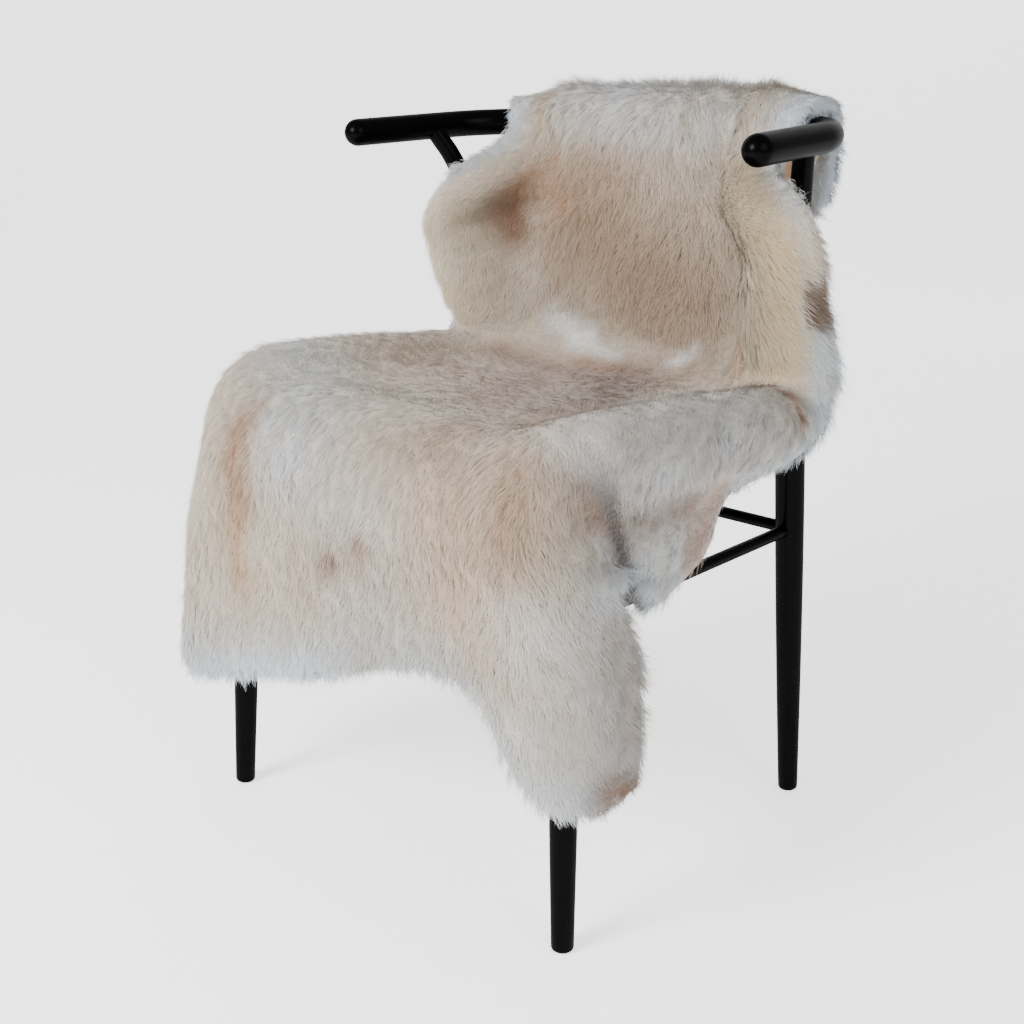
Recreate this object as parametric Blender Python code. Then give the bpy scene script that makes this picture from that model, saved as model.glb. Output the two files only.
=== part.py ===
"""A sheepskin rug thrown over a round-bar chair.

Metres, +Z up. The frame's origin is on the floor, under the middle of the whole thing. The chair faces -Y.
The tables of the skin are in millimetres from CHAIR_MIDDLE, the point on the floor between the four feet.
"""

import math
from collections import namedtuple

import bmesh
import bpy
import numpy as np
from mathutils import Vector, noise

MM = 0.001
Finish = namedtuple("Finish", "name colour roughness metallic")
LACQUER = Finish("black satin lacquer", (0.008, 0.008, 0.009), 0.35, 0.0)
WOOL = Finish("ivory sheepskin wool", (0.72, 0.64, 0.56), 0.9, 0.0)
CHAIR_MIDDLE = (-0.0022, 0.0009)  # where the chair's middle stands, from the frame's origin
GAP = 0.0003  # between pieces that meet

# The chair's legs: where a foot stands, and how far the leg leans over each metre that it rises
FRONT_FOOT = (0.2443, -0.2076)
BACK_FOOT = (0.2212, 0.2076)
FRONT_LEAN = (-0.042, 0.042)
BACK_LEAN = (-0.005, -0.082)
FOOT_RADIUS = 0.0108
FOOT_HEIGHTS = (0, 0.0012, 0.004)  # of the rings that round the foot off
FOOT_SHARES = (0.62, 0.86, 1.0)  # of the leg's radius at each of them
LEG_RADIUS = 0.0155  # at its thickest, just under the seat
LEG_THICKEST = 0.400
FRONT_LEG_TOP = 0.4225
SEAT_HEIGHT = 0.440
LEG_SIDES = 16
LOWER_STATIONS = (0.06, 0.14, 0.24, 0.33, LEG_THICKEST)  # heights of a leg's rings
UPPER_STATIONS = (0.43, 0.46, 0.50, 0.54, 0.58, 0.615, 0.645, 0.67, 0.69, 0.706)

# Above the seat each back leg flares outwards and leans forwards to the rail
RAIL_MEETS_LEG = 0.7215
FLARE_OUT = 0.0355
LEAN_FORWARD = 0.0114
BEND_FORWARD = 0.0466
BACK_LEG_TOP_RADIUS = 0.0102

# The top rail: one round bar, open to the front, that rises a little towards the back
RAIL_RADIUS = 0.015
RAIL_END = (0.2712, -0.0026, 0.7163)
RAIL_SPLAY = 0.1208  # radians that each arm turns out from straight ahead
RAIL_RISE = 0.0441  # rise over each metre towards the back
ARM_LENGTH = 0.140
BEND_RADIUS = 0.100
RAIL_SIDES = 16
ARM_STATIONS = (0.12, 0.4, 0.7, 1.0)  # shares of the arm's length
BEND_STEPS = 8
DOME_ANGLES = (0.35, 0.75, 1.15)  # radians round each end's dome

STRETCHER_RADIUS = 0.0065
STRETCHER_HEIGHT = 0.3165
SEAT_RAIL_RADIUS = 0.009
SEAT_RAIL_HEIGHT = 0.4135
BAR_SIDES = 12

SEAT_FRONT_HALF = 0.232
SEAT_BACK_HALF = 0.214
SEAT_FRONT_Y = -0.216
SEAT_BACK_Y = 0.152
SEAT_CORNER = 0.030
SEAT_UNDER = SEAT_RAIL_HEIGHT + SEAT_RAIL_RADIUS + GAP
SEAT_EDGE_ROUNDING = 0.005

# The skin's underside, one row for each section across it, from the hem behind the rail to the front hem.
# middle is (y, z); a brow is where the skin turns down over an edge or a leg, a hem is its cut edge: (x, y, z).
# steps is how many strips of the mesh lie between this section and the next. Where the skin is wrapped round the
# rail, turn is how far round it, in degrees from its top towards the back, and left and right are its two hems.
Section = namedtuple("Section", "name steps middle left_brow left_hem right_brow right_hem")
Wrap = namedtuple("Wrap", "name steps turn left right")
SECTIONS = [
    Section("back hem", 3, (250, 634), (-128, 252, 646), (-178, 244, 672), (122, 252, 640), (172, 246, 660)),
    Wrap("rail back", 2, 90, -200, 192),
    Wrap("rail crown", 2, 50, -203, 197),
    Wrap("over rail", 2, 0, -205, 202),
    Wrap("rail brow", 2, -45, -203, 203),
    Wrap("rail front", 2, -90, -200, 203),
    Section("neck", 2, (200, 684), (-156, 188, 686), (-200, 158, 692), (160, 180, 684), (212, 140, 689)),
    Section("shoulder", 2, (197, 662), (-184, 132, 664), (-208, 112, 674), (192, 122, 663), (266, 100, 665)),
    Section("strut", 3, (193, 636), (-216, 114, 640), (-238, 124, 642), (226, 110, 637), (274, 104, 638)),
    Section("upper back", 3, (186, 588), (-220, 124, 588), (-248, 150, 590), (224, 126, 588), (246, 134, 590)),
    Section("lower back", 4, (176, 530), (-212, 134, 530), (-238, 160, 536), (220, 134, 530), (246, 154, 532)),
    Section("crease", 3, (152, 474), (-208, 128, 484), (-226, 142, 492), (222, 124, 486), (260, 148, 488)),
    Section("seat back", 4, (96, 445), (-224, 92, 466), (-240, 96, 414), (246, 96, 466), (262, 104, 440)),
    Section("seat middle", 4, (-20, 445), (-230, -18, 469), (-244, -14, 394), (252, -16, 467), (258, -14, 408)),
    Section("seat front", 3, (-136, 446), (-234, -146, 475), (-246, -116, 382), (252, -130, 466), (256, -108, 358)),
    Section("front edge", 3, (-216, 448), (-234, -214, 456), (-262, -172, 388), (244, -208, 458), (250, -158, 352)),
    Section("front upper", 3, (-238, 410), (-230, -226, 405), (-260, -194, 380), (240, -236, 410), (268, -202, 380)),
    Section("front lower", 4, (-240, 330), (-234, -232, 330), (-264, -200, 326), (242, -240, 330), (270, -184, 326)),
    Section("front hem", 0, (-242, 200), (-246, -240, 200), (-274, -208, 200), (250, -240, 200), (278, -178, 200)),
]
VALLEY_SHARE = 0.68  # the flat middle of each section reaches this far towards its brows
WRAP_BROW = 150
WRAP_CLEAR = 2.0  # between the skin and the rail
SEAT_CLEAR = 0.4
ACROSS_KNOTS = (-300, -230, -150, 0, 150, 230, 300)

# Height of the front hem at each place across the skin
Hem = namedtuple("Hem", "across height")
FRONT_HEM = [
    Hem(-300, 188),
    Hem(-230, 178),
    Hem(-120, 206),
    Hem(0, 250),
    Hem(75, 283),
    Hem(150, 288),
    Hem(185, 270),
    Hem(225, 204),
    Hem(265, 186),
    Hem(300, 196),
]
FRONT_TOP = 448  # height of the front edge, from which the front hangs
SKIN_COLUMNS = 36
CROWDING = 0.25  # how much closer together the columns are towards the brows and hems

# The wool, in mm: its depth from the skin's underside, and where a fold or a sitter thins or thickens it
PILE = 34
THINNEST_PILE = 9
HANG = 0.3  # how far the wool's tips sink down a steep face, as a share of the pile
Fold = namedtuple("Fold", "name start end width pile")
FOLDS = [
    Fold("neck behind rail", ("back hem", -200), ("back hem", 200), 90, 24),
    Fold("on the rail", ("over rail", -150), ("over rail", 170), 40, 29),
    Fold("left of rail", ("rail back", -300), ("rail front", -300), 64, 14),
    Fold("right of rail", ("rail back", 300), ("rail front", 300), 44, 20),
    Fold("left neck", ("neck", -300), ("shoulder", -300), 36, 12),
    Fold("right neck", ("neck", 300), ("shoulder", 300), 36, 12),
    Fold("left crease", ("neck", -180), ("upper back", -165), 34, 20),
    Fold("right crease", ("rail front", 168), ("lower back", 172), 22, 15),
    Fold("right lobe", ("upper back", 240), ("lower back", 240), 40, 40),
    Fold("seat crease", ("crease", -230), ("crease", 230), 55, 19),
    Fold("sat-on middle", ("seat back", -60), ("seat middle", 40), 110, 20),
    Fold("right seat valley", ("seat middle", 150), ("seat back", 190), 36, 22),
    Fold("side roll", ("seat front", 225), ("seat back", 240), 32, 44),
    Fold("side pinch", ("seat front", 256), ("seat back", 314), 14, 12),
    Fold("under flap", ("seat middle", 285), ("seat middle", 300), 26, 14),
    Fold("left waist", ("crease", -300), ("crease", -270), 30, 16),
    Fold("slit", ("front edge", 300), ("front edge", 262), 20, 9),
    Fold("flap edge", ("front upper", 300), ("front lower", 300), 16, 30),
    Fold("left pinch", ("seat front", -262), ("front edge", -244), 20, 14),
    Fold("left front corner", ("front edge", -240), ("front upper", -250), 40, 16),
]
LUMP_SIZE = 46
LUMP_DEPTH = 4

# The rim of the wool, from the skin's edge round to its tips: shares of RIM_REACH outwards and of the pile up
RIM_REACH = 0.64  # of the pile
RIM = ((0.6, 0.04), (1.0, 0.24), (1.0, 0.56), (0.66, 0.88))
ROOTS = (1, 2)  # the two rings of the rim between which the locks grow

# Locks of longer wool along the skin's edge, each row of them fused into one narrow strip, in mm
LOCK_LENGTH = 14
LOCK_VARIETY = 0.8  # how much longer or shorter a lock can be, as a share of its length
LOCK_DROOP = 0.35  # how far a lock bends down, as a share of its length
LOCK_SWAY = 0.7  # how far a lock can lean along the hem, as a share of its width
LOCK_MIDDLE = 0.6  # a lock's thickness half way out, as a share of its root's
LENGTH_PATTERN = 17  # distance over which the locks' length changes
SWAY_PATTERN = 11
STRIP_DEPTH = 2.5
STRIP_GAP = 0.85  # between the skin and a strip
Strip = namedtuple("Strip", "name start end")
STRIPS = [
    Strip("back_hem_locks", ("back hem", -300), ("back hem", 300)),
    Strip("right_lobe_locks", ("upper back", 300), ("crease", 300)),
    Strip("side_flap_locks", ("seat back", 300), ("seat front", 300)),
    Strip("leg_flap_locks", ("front lower", 300), ("front hem", 300)),
    Strip("front_hem_locks", ("front hem", 300), ("front hem", -300)),
    Strip("left_corner_locks", ("front hem", -300), ("front upper", -300)),
    Strip("left_seat_locks", ("seat front", -300), ("seat back", -300)),
    Strip("left_lobe_locks", ("crease", -300), ("strut", -300)),
]


def clear_scene():
    for item in list(bpy.data.objects):
        bpy.data.objects.remove(item, do_unlink=True)


def add_object(name, shape, finish, sharp=math.radians(40)):
    """An object of the shape, with a material of its own, smooth but for its edges over the sharp angle."""
    material = bpy.data.materials.new(f"{name} {finish.name}")
    material.use_nodes = True
    shader = material.node_tree.nodes["Principled BSDF"]
    shader.inputs["Base Color"].default_value = (*finish.colour, 1.0)
    shader.inputs["Roughness"].default_value = finish.roughness
    shader.inputs["Metallic"].default_value = finish.metallic
    bmesh.ops.recalc_face_normals(shape, faces=shape.faces)
    mesh = bpy.data.meshes.new(name)
    shape.to_mesh(mesh)
    shape.free()
    mesh.materials.append(material)
    mesh.shade_smooth()
    mesh.set_sharp_from_angle(angle=sharp)
    item = bpy.data.objects.new(name, mesh)
    bpy.context.scene.collection.objects.link(item)
    item.location = (*CHAIR_MIDDLE, 0)
    return item


def shape_of(points, faces):
    mesh = bmesh.new()
    corners = [mesh.verts.new(p) for p in points]
    for face in faces:
        mesh.faces.new([corners[k] for k in face])
    return mesh


def tube(path, radii, sides):
    """Points and faces of a round bar along a path, with a flat cap at each end."""
    path = [Vector(p) for p in path]
    points, faces = [], []
    side = None
    for i, at in enumerate(path):
        ahead = (path[min(i + 1, len(path) - 1)] - path[max(i - 1, 0)]).normalized()
        if side is None:
            side = ahead.cross(Vector((0, 1, 0)) if abs(ahead.y) < 0.9 else Vector((0, 0, 1)))
        side = (side - ahead * side.dot(ahead)).normalized()
        other = ahead.cross(side)
        for k in range(sides):
            turn = 2 * math.pi * k / sides
            points.append(at + radii[i] * (math.cos(turn) * side + math.sin(turn) * other))
    for i in range(len(path) - 1):
        for k in range(sides):
            a, b = i * sides + k, i * sides + (k + 1) % sides
            faces.append((a, b, b + sides, a + sides))
    faces.append(tuple(reversed(range(sides))))
    faces.append(tuple((len(path) - 1) * sides + k for k in range(sides)))
    return points, faces


def leg_radius(height, top=FRONT_LEG_TOP, top_radius=LEG_RADIUS):
    """A leg swells from its foot to its thickest, and the back leg thins again towards the rail."""
    if height <= LEG_THICKEST:
        share = height / LEG_THICKEST
        return FOOT_RADIUS + (LEG_RADIUS - FOOT_RADIUS) * math.sin(share * math.pi / 2)
    share = (height - LEG_THICKEST) / (top - LEG_THICKEST)
    return LEG_RADIUS + (top_radius - LEG_RADIUS) * share


def front_leg_axis(side, height):
    return (
        side * (FRONT_FOOT[0] + FRONT_LEAN[0] * height),
        FRONT_FOOT[1] + FRONT_LEAN[1] * height,
        height,
    )


def back_leg_axis(side, height):
    x = BACK_FOOT[0] + BACK_LEAN[0] * min(height, SEAT_HEIGHT)
    y = BACK_FOOT[1] + BACK_LEAN[1] * min(height, SEAT_HEIGHT)
    above = max(0.0, (height - SEAT_HEIGHT) / (RAIL_MEETS_LEG - SEAT_HEIGHT))
    x += FLARE_OUT * above**4
    y -= LEAN_FORWARD * above + BEND_FORWARD * above**4
    return side * x, y, height


def leg(name, side, front, grow=0.0):
    """One turned leg. grow makes the fatter copy that clears its place in the bars that it carries."""
    if front:
        heights = [*FOOT_HEIGHTS, *LOWER_STATIONS, FRONT_LEG_TOP]
        radii = [leg_radius(h) for h in heights]
        path = [front_leg_axis(side, h) for h in heights]
    else:
        heights = [*FOOT_HEIGHTS, *LOWER_STATIONS, *UPPER_STATIONS, RAIL_MEETS_LEG]
        radii = [leg_radius(h, RAIL_MEETS_LEG, BACK_LEG_TOP_RADIUS) for h in heights]
        path = [back_leg_axis(side, h) for h in heights]
    radii = [r * s for r, s in zip(radii, FOOT_SHARES)] + radii[len(FOOT_SHARES):]
    points, faces = tube(path, [r + grow for r in radii], LEG_SIDES)
    # The foot stands flat, and the front leg's top lies flat under the seat
    level = heights if front else FOOT_HEIGHTS
    for i, height in enumerate(level):
        for k in range(LEG_SIDES):
            points[i * LEG_SIDES + k].z = height
    return add_object(name, shape_of(points, faces), LACQUER)


ARM_AHEAD = Vector((-math.sin(RAIL_SPLAY), math.cos(RAIL_SPLAY)))
ARM_INWARDS = Vector((-ARM_AHEAD.y, ARM_AHEAD.x))


def rail_bend_centre():
    """Centre of the rail's bend on the +X side, seen from above."""
    return Vector(RAIL_END[:2]) + ARM_AHEAD * ARM_LENGTH + ARM_INWARDS * BEND_RADIUS


def rail_axis():
    """Half of the rail's axis, from the tip of an arm to the middle of the back, on the +X side."""
    flat = [Vector(RAIL_END[:2]) + ARM_AHEAD * share * ARM_LENGTH for share in ARM_STATIONS]
    centre = rail_bend_centre()
    turn = math.pi / 2 - RAIL_SPLAY
    for step in range(1, BEND_STEPS + 1):
        angle = turn * step / BEND_STEPS
        away = ARM_AHEAD * math.sin(angle) - ARM_INWARDS * math.cos(angle)
        flat.append(centre + away * BEND_RADIUS)
    flat.append(Vector((flat[-1].x / 2, flat[-1].y)))
    return [Vector((p.x, p.y, RAIL_END[2] + RAIL_RISE * (p.y - RAIL_END[1]))) for p in flat]


def top_rail(name, grow=0.0):
    half = rail_axis()
    middle = Vector((0, half[-1].y, half[-1].z))
    axis = half + [middle] + [Vector((-p.x, p.y, p.z)) for p in reversed(half)]
    # Each end is a dome, set ring by ring along the arm
    radius = RAIL_RADIUS + grow
    ahead = (axis[0] - axis[1]).normalized()
    domes = [(math.sin(a) * radius, math.cos(a) * radius) for a in DOME_ANGLES]
    start = [axis[0] + ahead * out for out, _ in reversed(domes)]
    mirrored = [Vector((-p.x, p.y, p.z)) for p in start]
    path = start + axis + list(reversed(mirrored))
    caps = [r for _, r in reversed(domes)]
    radii = caps + [radius] * len(axis) + list(reversed(caps))
    return add_object(name, shape_of(*tube(path, radii, RAIL_SIDES)), LACQUER)


def bar(name, start, end, radius, legs):
    """A straight round bar between two legs. Their fatter copies scoop its ends to sit against them."""
    item = add_object(name, shape_of(*tube([start, end], [radius, radius], BAR_SIDES)), LACQUER)
    for cutter in legs:
        cut = item.modifiers.new("scooped end", "BOOLEAN")
        cut.operation = "DIFFERENCE"
        cut.object = cutter
    return item


def hide_cutter(item):
    item.hide_render = True
    item.display_type = "WIRE"
    return item


def seat_board():
    corners = [
        (-SEAT_FRONT_HALF, SEAT_FRONT_Y),
        (SEAT_FRONT_HALF, SEAT_FRONT_Y),
        (SEAT_BACK_HALF, SEAT_BACK_Y),
        (-SEAT_BACK_HALF, SEAT_BACK_Y),
    ]
    board = bmesh.new()
    outline = [board.verts.new((x, y, SEAT_UNDER)) for x, y in corners]
    under = board.faces.new(outline)
    top = bmesh.ops.extrude_face_region(board, geom=[under])["geom"]
    lift = [v for v in top if isinstance(v, bmesh.types.BMVert)]
    bmesh.ops.translate(board, verts=lift, vec=(0, 0, SEAT_HEIGHT - SEAT_UNDER))
    upright = [e for e in board.edges if abs(e.verts[0].co.z - e.verts[1].co.z) > MM]
    bmesh.ops.bevel(board, geom=upright, offset=SEAT_CORNER, segments=4, affect="EDGES", profile=0.5)
    rim = [e for e in board.edges if all(abs(v.co.z - SEAT_HEIGHT) < MM / 10 for v in e.verts)]
    bmesh.ops.bevel(board, geom=rim, offset=SEAT_EDGE_ROUNDING, segments=2, affect="EDGES", profile=0.5)
    add_object("seat_board", board, LACQUER)


def build_chair():
    legs, cutters = {}, {}
    for word, side in (("left", -1), ("right", 1)):
        legs["front", side] = leg(f"front_leg_{word}", side, True)
        legs["back", side] = leg(f"back_leg_{word}", side, False)
        cutters["front", side] = hide_cutter(leg(f"clear_front_{word}", side, True, GAP))
        cutters["back", side] = hide_cutter(leg(f"clear_back_{word}", side, False, GAP))
    top_rail("top_rail")
    rail_room = hide_cutter(top_rail("clear_rail", GAP))
    for side in (-1, 1):
        seated = legs["back", side].modifiers.new("scooped top", "BOOLEAN")
        seated.operation = "DIFFERENCE"
        seated.object = rail_room
    bars = (("stretcher", STRETCHER_HEIGHT, STRETCHER_RADIUS), ("seat_rail", SEAT_RAIL_HEIGHT, SEAT_RAIL_RADIUS))
    for kind, height, radius in bars:
        for word, side in (("left", -1), ("right", 1)):
            ends = front_leg_axis(side, height), back_leg_axis(side, height)
            held = [cutters["front", side], cutters["back", side]]
            bar(f"side_{kind}_{word}", *ends, radius, held)
        ends = back_leg_axis(-1, height), back_leg_axis(1, height)
        bar(f"back_{kind}", *ends, radius, [cutters["back", -1], cutters["back", 1]])
    ends = front_leg_axis(-1, SEAT_RAIL_HEIGHT), front_leg_axis(1, SEAT_RAIL_HEIGHT)
    bar("front_seat_rail", *ends, SEAT_RAIL_RADIUS, [cutters["front", -1], cutters["front", 1]])
    seat_board()


def spline(knots, values, at):
    """Smooth curve through values at knots, for each number in at. values may hold points or rows of points."""
    knots, at = np.asarray(knots, float), np.asarray(at, float)
    values = np.asarray(values, float)
    step = np.diff(knots)
    shape = (-1,) + (1,) * (values.ndim - 1)
    slope = np.diff(values, axis=0) / step.reshape(shape)
    tangent = np.empty_like(values)
    before, after = step[:-1].reshape(shape), step[1:].reshape(shape)
    tangent[1:-1] = (slope[:-1] * after + slope[1:] * before) / (before + after)
    tangent[0], tangent[-1] = slope[0], slope[-1]
    i = np.clip(np.searchsorted(knots, at, side="right") - 1, 0, len(step) - 1)
    h = step[i].reshape(shape)
    u = ((at - knots[i]) / step[i]).reshape(shape)
    return (
        (2 * u**3 - 3 * u**2 + 1) * values[i]
        + (u**3 - 2 * u**2 + u) * h * tangent[i]
        + (3 * u**2 - 2 * u**3) * values[i + 1]
        + (u**3 - u**2) * h * tangent[i + 1]
    )


def wrap_row(wrap):
    """The seven points of a section that is wrapped round the rail, which bends forwards near both hems."""
    centre = rail_bend_centre() / MM
    bend = BEND_RADIUS / MM
    valley = VALLEY_SHARE * WRAP_BROW
    reach = RAIL_RADIUS / MM + WRAP_CLEAR
    back, up = (reach * f(math.radians(wrap.turn)) for f in (math.sin, math.cos))
    row = []
    for x in (wrap.left, -WRAP_BROW, -valley, 0, valley, WRAP_BROW, wrap.right):
        swing = math.asin(max(0, abs(x) - centre.x) / bend)
        y = centre.y + bend * math.cos(swing)
        z = (RAIL_END[2] - RAIL_RISE * RAIL_END[1]) / MM + RAIL_RISE * y
        row.append((x + math.copysign(math.sin(swing), x) * back, y + math.cos(swing) * back, z + up))
    return row


def section_place(name):
    return [s.name for s in SECTIONS].index(name)


def control_net():
    """Seven points across each section: hem, brow, valley, middle, valley, brow, hem."""
    net = []
    for s in SECTIONS:
        if isinstance(s, Wrap):
            net.append(wrap_row(s))
            continue
        middle = np.array([0.0, *s.middle])
        valleys = [middle + (VALLEY_SHARE * brow[0], 0, 0) for brow in (s.left_brow, s.right_brow)]
        net.append([s.left_hem, s.left_brow, valleys[0], middle, valleys[1], s.right_brow, s.right_hem])
    return np.array(net)


def rest_on_chair(grid):
    """Lifts the underside off the seat and pushes it off the rail, wherever it would sink into them."""
    x, y, z = grid[..., 0], grid[..., 1], grid[..., 2]
    centre = rail_bend_centre() / MM
    bend = BEND_RADIUS / MM
    over = np.maximum(0, np.abs(x) - centre.x)
    radius = np.hypot(over, y - centre.y)
    off = radius - bend
    rise = z - (RAIL_END[2] - RAIL_RISE * RAIL_END[1]) / MM - RAIL_RISE * y
    away = np.hypot(off, rise)
    push = np.maximum(RAIL_RADIUS / MM + WRAP_CLEAR - away, 0) / away
    push[radius < bend / 2] = 0
    grid[..., 0] += push * off * np.sign(x) * over / radius
    grid[..., 1] += push * off * (y - centre.y) / radius
    grid[..., 2] += push * rise
    on_seat = (np.abs(x) < SEAT_FRONT_HALF / MM) & (y > SEAT_FRONT_Y / MM) & (y < SEAT_BACK_Y / MM)
    grid[on_seat, 2] = np.maximum(grid[on_seat, 2], SEAT_HEIGHT / MM + SEAT_CLEAR)


def skin_underside():
    """Points of the underside, rows x columns x 3, with each row's place along and column's place across."""
    net = control_net()
    steps = np.linalg.norm(np.diff(net[:, 3], axis=0), axis=1)
    along = np.concatenate([[0], np.cumsum(steps)])
    shares = np.cumsum([0] + [1 / s.steps for s in SECTIONS[:-1] for _ in range(s.steps)])
    t = np.interp(shares, range(len(SECTIONS)), along)
    share = np.linspace(-1, 1, SKIN_COLUMNS)
    s = ACROSS_KNOTS[-1] * ((1 + CROWDING) * share - CROWDING * share**3)
    rows = spline(along, net, t)
    grid = spline(ACROSS_KNOTS, rows.transpose(1, 0, 2), s).transpose(1, 0, 2)
    # Below the front edge each column is drawn out or shortened to end at the front hem
    hem = spline([h.across for h in FRONT_HEM], [h.height for h in FRONT_HEM], s)
    hanging = t > along[section_place("front edge")]
    drop = FRONT_TOP - grid[hanging][:, :, 2]
    grid[hanging, :, 2] = FRONT_TOP - drop * (FRONT_TOP - hem) / (FRONT_TOP - grid[-1, :, 2])
    rest_on_chair(grid)
    return grid, t, s, along


def normals_of(grid):
    """Unit normals on the wool side, evened out so that the wool's tips don't cross in a hollow."""
    normal = np.cross(np.gradient(grid, axis=0), np.gradient(grid, axis=1))
    for _ in range(3):
        normal /= np.linalg.norm(normal, axis=2, keepdims=True)
        padded = np.pad(normal, ((1, 1), (1, 1), (0, 0)), mode="edge")
        beside = padded[2:, 1:-1] + padded[:-2, 1:-1] + padded[1:-1, 2:] + padded[1:-1, :-2]
        normal = normal + beside / 2
    return normal / np.linalg.norm(normal, axis=2, keepdims=True)


def pile_depth(grid, t, s, along):
    """Depth of the wool over each point of the underside."""
    places = np.stack(np.meshgrid(t, s, indexing="ij"), axis=2)
    pile = np.full(grid.shape[:2], float(PILE))
    for fold in FOLDS:
        start = np.array([along[section_place(fold.start[0])], fold.start[1]])
        end = np.array([along[section_place(fold.end[0])], fold.end[1]])
        run = end - start
        share = np.clip(((places - start) @ run) / (run @ run), 0, 1)
        away = np.linalg.norm(places - start - share[..., None] * run, axis=2)
        pile += (fold.pile - PILE) * np.exp(-((away / fold.width) ** 2))
    lumps = [[noise.noise(Vector(p) / LUMP_SIZE) for p in row] for row in grid]
    return np.maximum(pile, THINNEST_PILE) + LUMP_DEPTH * np.array(lumps)


def rim_path(rows, columns):
    """Grid places round the skin's edge, in order."""
    path = [(0, j) for j in range(columns)]
    path += [(i, columns - 1) for i in range(1, rows)]
    path += [(rows - 1, j) for j in range(columns - 2, -1, -1)]
    path += [(i, 0) for i in range(rows - 2, 0, -1)]
    return path


def outwards(grid, normal, path):
    """Unit directions out of the skin's edge, in its own plane, evened out along the edge."""
    rows, columns = grid.shape[:2]
    out = []
    for i, j in path:
        inner = grid[min(max(i, 1), rows - 2), min(max(j, 1), columns - 2)]
        out.append(grid[i, j] - inner)
    out = np.array(out)
    up = np.array([normal[i, j] for i, j in path])
    for _ in range(3):
        out -= up * np.sum(out * up, axis=1, keepdims=True)
        out /= np.linalg.norm(out, axis=1, keepdims=True)
        out = out * 2 + np.roll(out, 1, axis=0) + np.roll(out, -1, axis=0)
    return out / np.linalg.norm(out, axis=1, keepdims=True)


class Skin:
    """The sheepskin's shape: its underside, the tips of its wool and the rings of its rim."""

    def __init__(self):
        self.under, t, s, along = skin_underside()
        normal = normals_of(self.under)
        pile = pile_depth(self.under, t, s, along)
        sunk = normal * normal[..., 2:] - (0, 0, 1)
        tips = (normal + HANG * sunk) * pile[..., None]
        self.top = self.under + tips
        self.path = rim_path(*pile.shape)
        self.out = outwards(self.under, normal, self.path)
        edge = np.array([self.under[p] for p in self.path])
        up = np.array([tips[p] for p in self.path])
        reach = np.array([pile[p] for p in self.path])[:, None] * RIM_REACH
        self.rings = [edge + self.out * reach * share + up * lift for share, lift in RIM]

    def place(self, section, across):
        """Where a section's hem lies on the rim's path."""
        row = sum(s.steps for s in SECTIONS[: section_place(section)])
        return self.path.index((row, 0 if across < 0 else SKIN_COLUMNS - 1))


def build_sheepskin(skin):
    rows, columns = skin.under.shape[:2]
    points = np.concatenate([skin.under.reshape(-1, 3), skin.top.reshape(-1, 3), *skin.rings]) * MM
    count = rows * columns
    faces = []
    for i in range(rows - 1):
        for j in range(columns - 1):
            a = i * columns + j
            b, c, d = a + 1, a + columns + 1, a + columns
            faces += [(a, b, c, d), (a + count, d + count, c + count, b + count)]
    around = len(skin.path)
    loops = [[i * columns + j for i, j in skin.path]]
    loops += [[2 * count + r * around + k for k in range(around)] for r in range(len(RIM))]
    loops.append([a + count for a in loops[0]])
    for low, high in zip(loops, loops[1:]):
        for k in range(around):
            beside = (k + 1) % around
            faces += [(low[beside], low[k], high[k]), (low[beside], high[k], high[beside])]
    add_object("sheepskin", shape_of(points, faces), WOOL, sharp=math.pi)


def build_locks(skin, strip):
    """A narrow strip just off the rim, with a four-sided lock standing on each of its steps."""
    start, end = skin.place(*strip.start), skin.place(*strip.end)
    around = len(skin.path)
    # One step late, so that two strips never share a corner
    places = [k % around for k in range(start + 1, end + 1 + (around if end < start else 0))]
    low, high = (skin.rings[r][places] for r in ROOTS)
    out = skin.out[places]
    near, far = out * STRIP_GAP, out * (STRIP_GAP + STRIP_DEPTH)
    points = np.stack([low + near, low + far, high + far, high + near], axis=1).reshape(-1, 3).tolist()
    steps = len(places) - 1
    faces = [(3, 2, 1, 0), tuple(4 * steps + k for k in range(4))]
    for k in range(steps):
        a, b = 4 * k, 4 * k + 4
        faces += [(a, a + 1, b + 1, b), (a + 2, a + 3, b + 3, b + 2)]
        faces += [(b, b + 3, a + 3), (b, a + 3, a)]
        root = [a + 1, a + 2, b + 2, b + 1]
        corners = np.array([points[r] for r in root])
        centre = corners.mean(axis=0)
        length = LOCK_LENGTH * (1 + LOCK_VARIETY * noise.noise(Vector(centre) / LENGTH_PATTERN))
        sway = (corners[3] - corners[0]) * LOCK_SWAY * noise.noise(Vector(centre) / SWAY_PATTERN)
        ahead = out[k] + out[k + 1]
        ahead *= length / np.linalg.norm(ahead)
        middle = centre + ahead / 2 + sway / 2
        tip = centre + ahead + sway - (0, 0, length * LOCK_DROOP)
        first = len(points)
        points += (middle + (corners - centre) * LOCK_MIDDLE - (0, 0, length * LOCK_DROOP / 4)).tolist()
        points.append(tip.tolist())
        for n in range(4):
            m = (n + 1) % 4
            faces.append((root[m], root[n], first + n, first + m))
            faces.append((first + m, first + n, first + 4))
    add_object(strip.name, shape_of(np.array(points) * MM, faces), WOOL)


clear_scene()
build_chair()
skin = Skin()
build_sheepskin(skin)
for strip in STRIPS:
    build_locks(skin, strip)
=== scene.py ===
"""A long-haired ivory sheepskin rug, thrown over a plain black round-bar chair.

Metres, +Z up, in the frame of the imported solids. The chair faces -Y.
"""

import math
from collections import namedtuple

import bmesh
import bpy
import numpy as np
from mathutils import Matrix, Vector, noise


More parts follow.
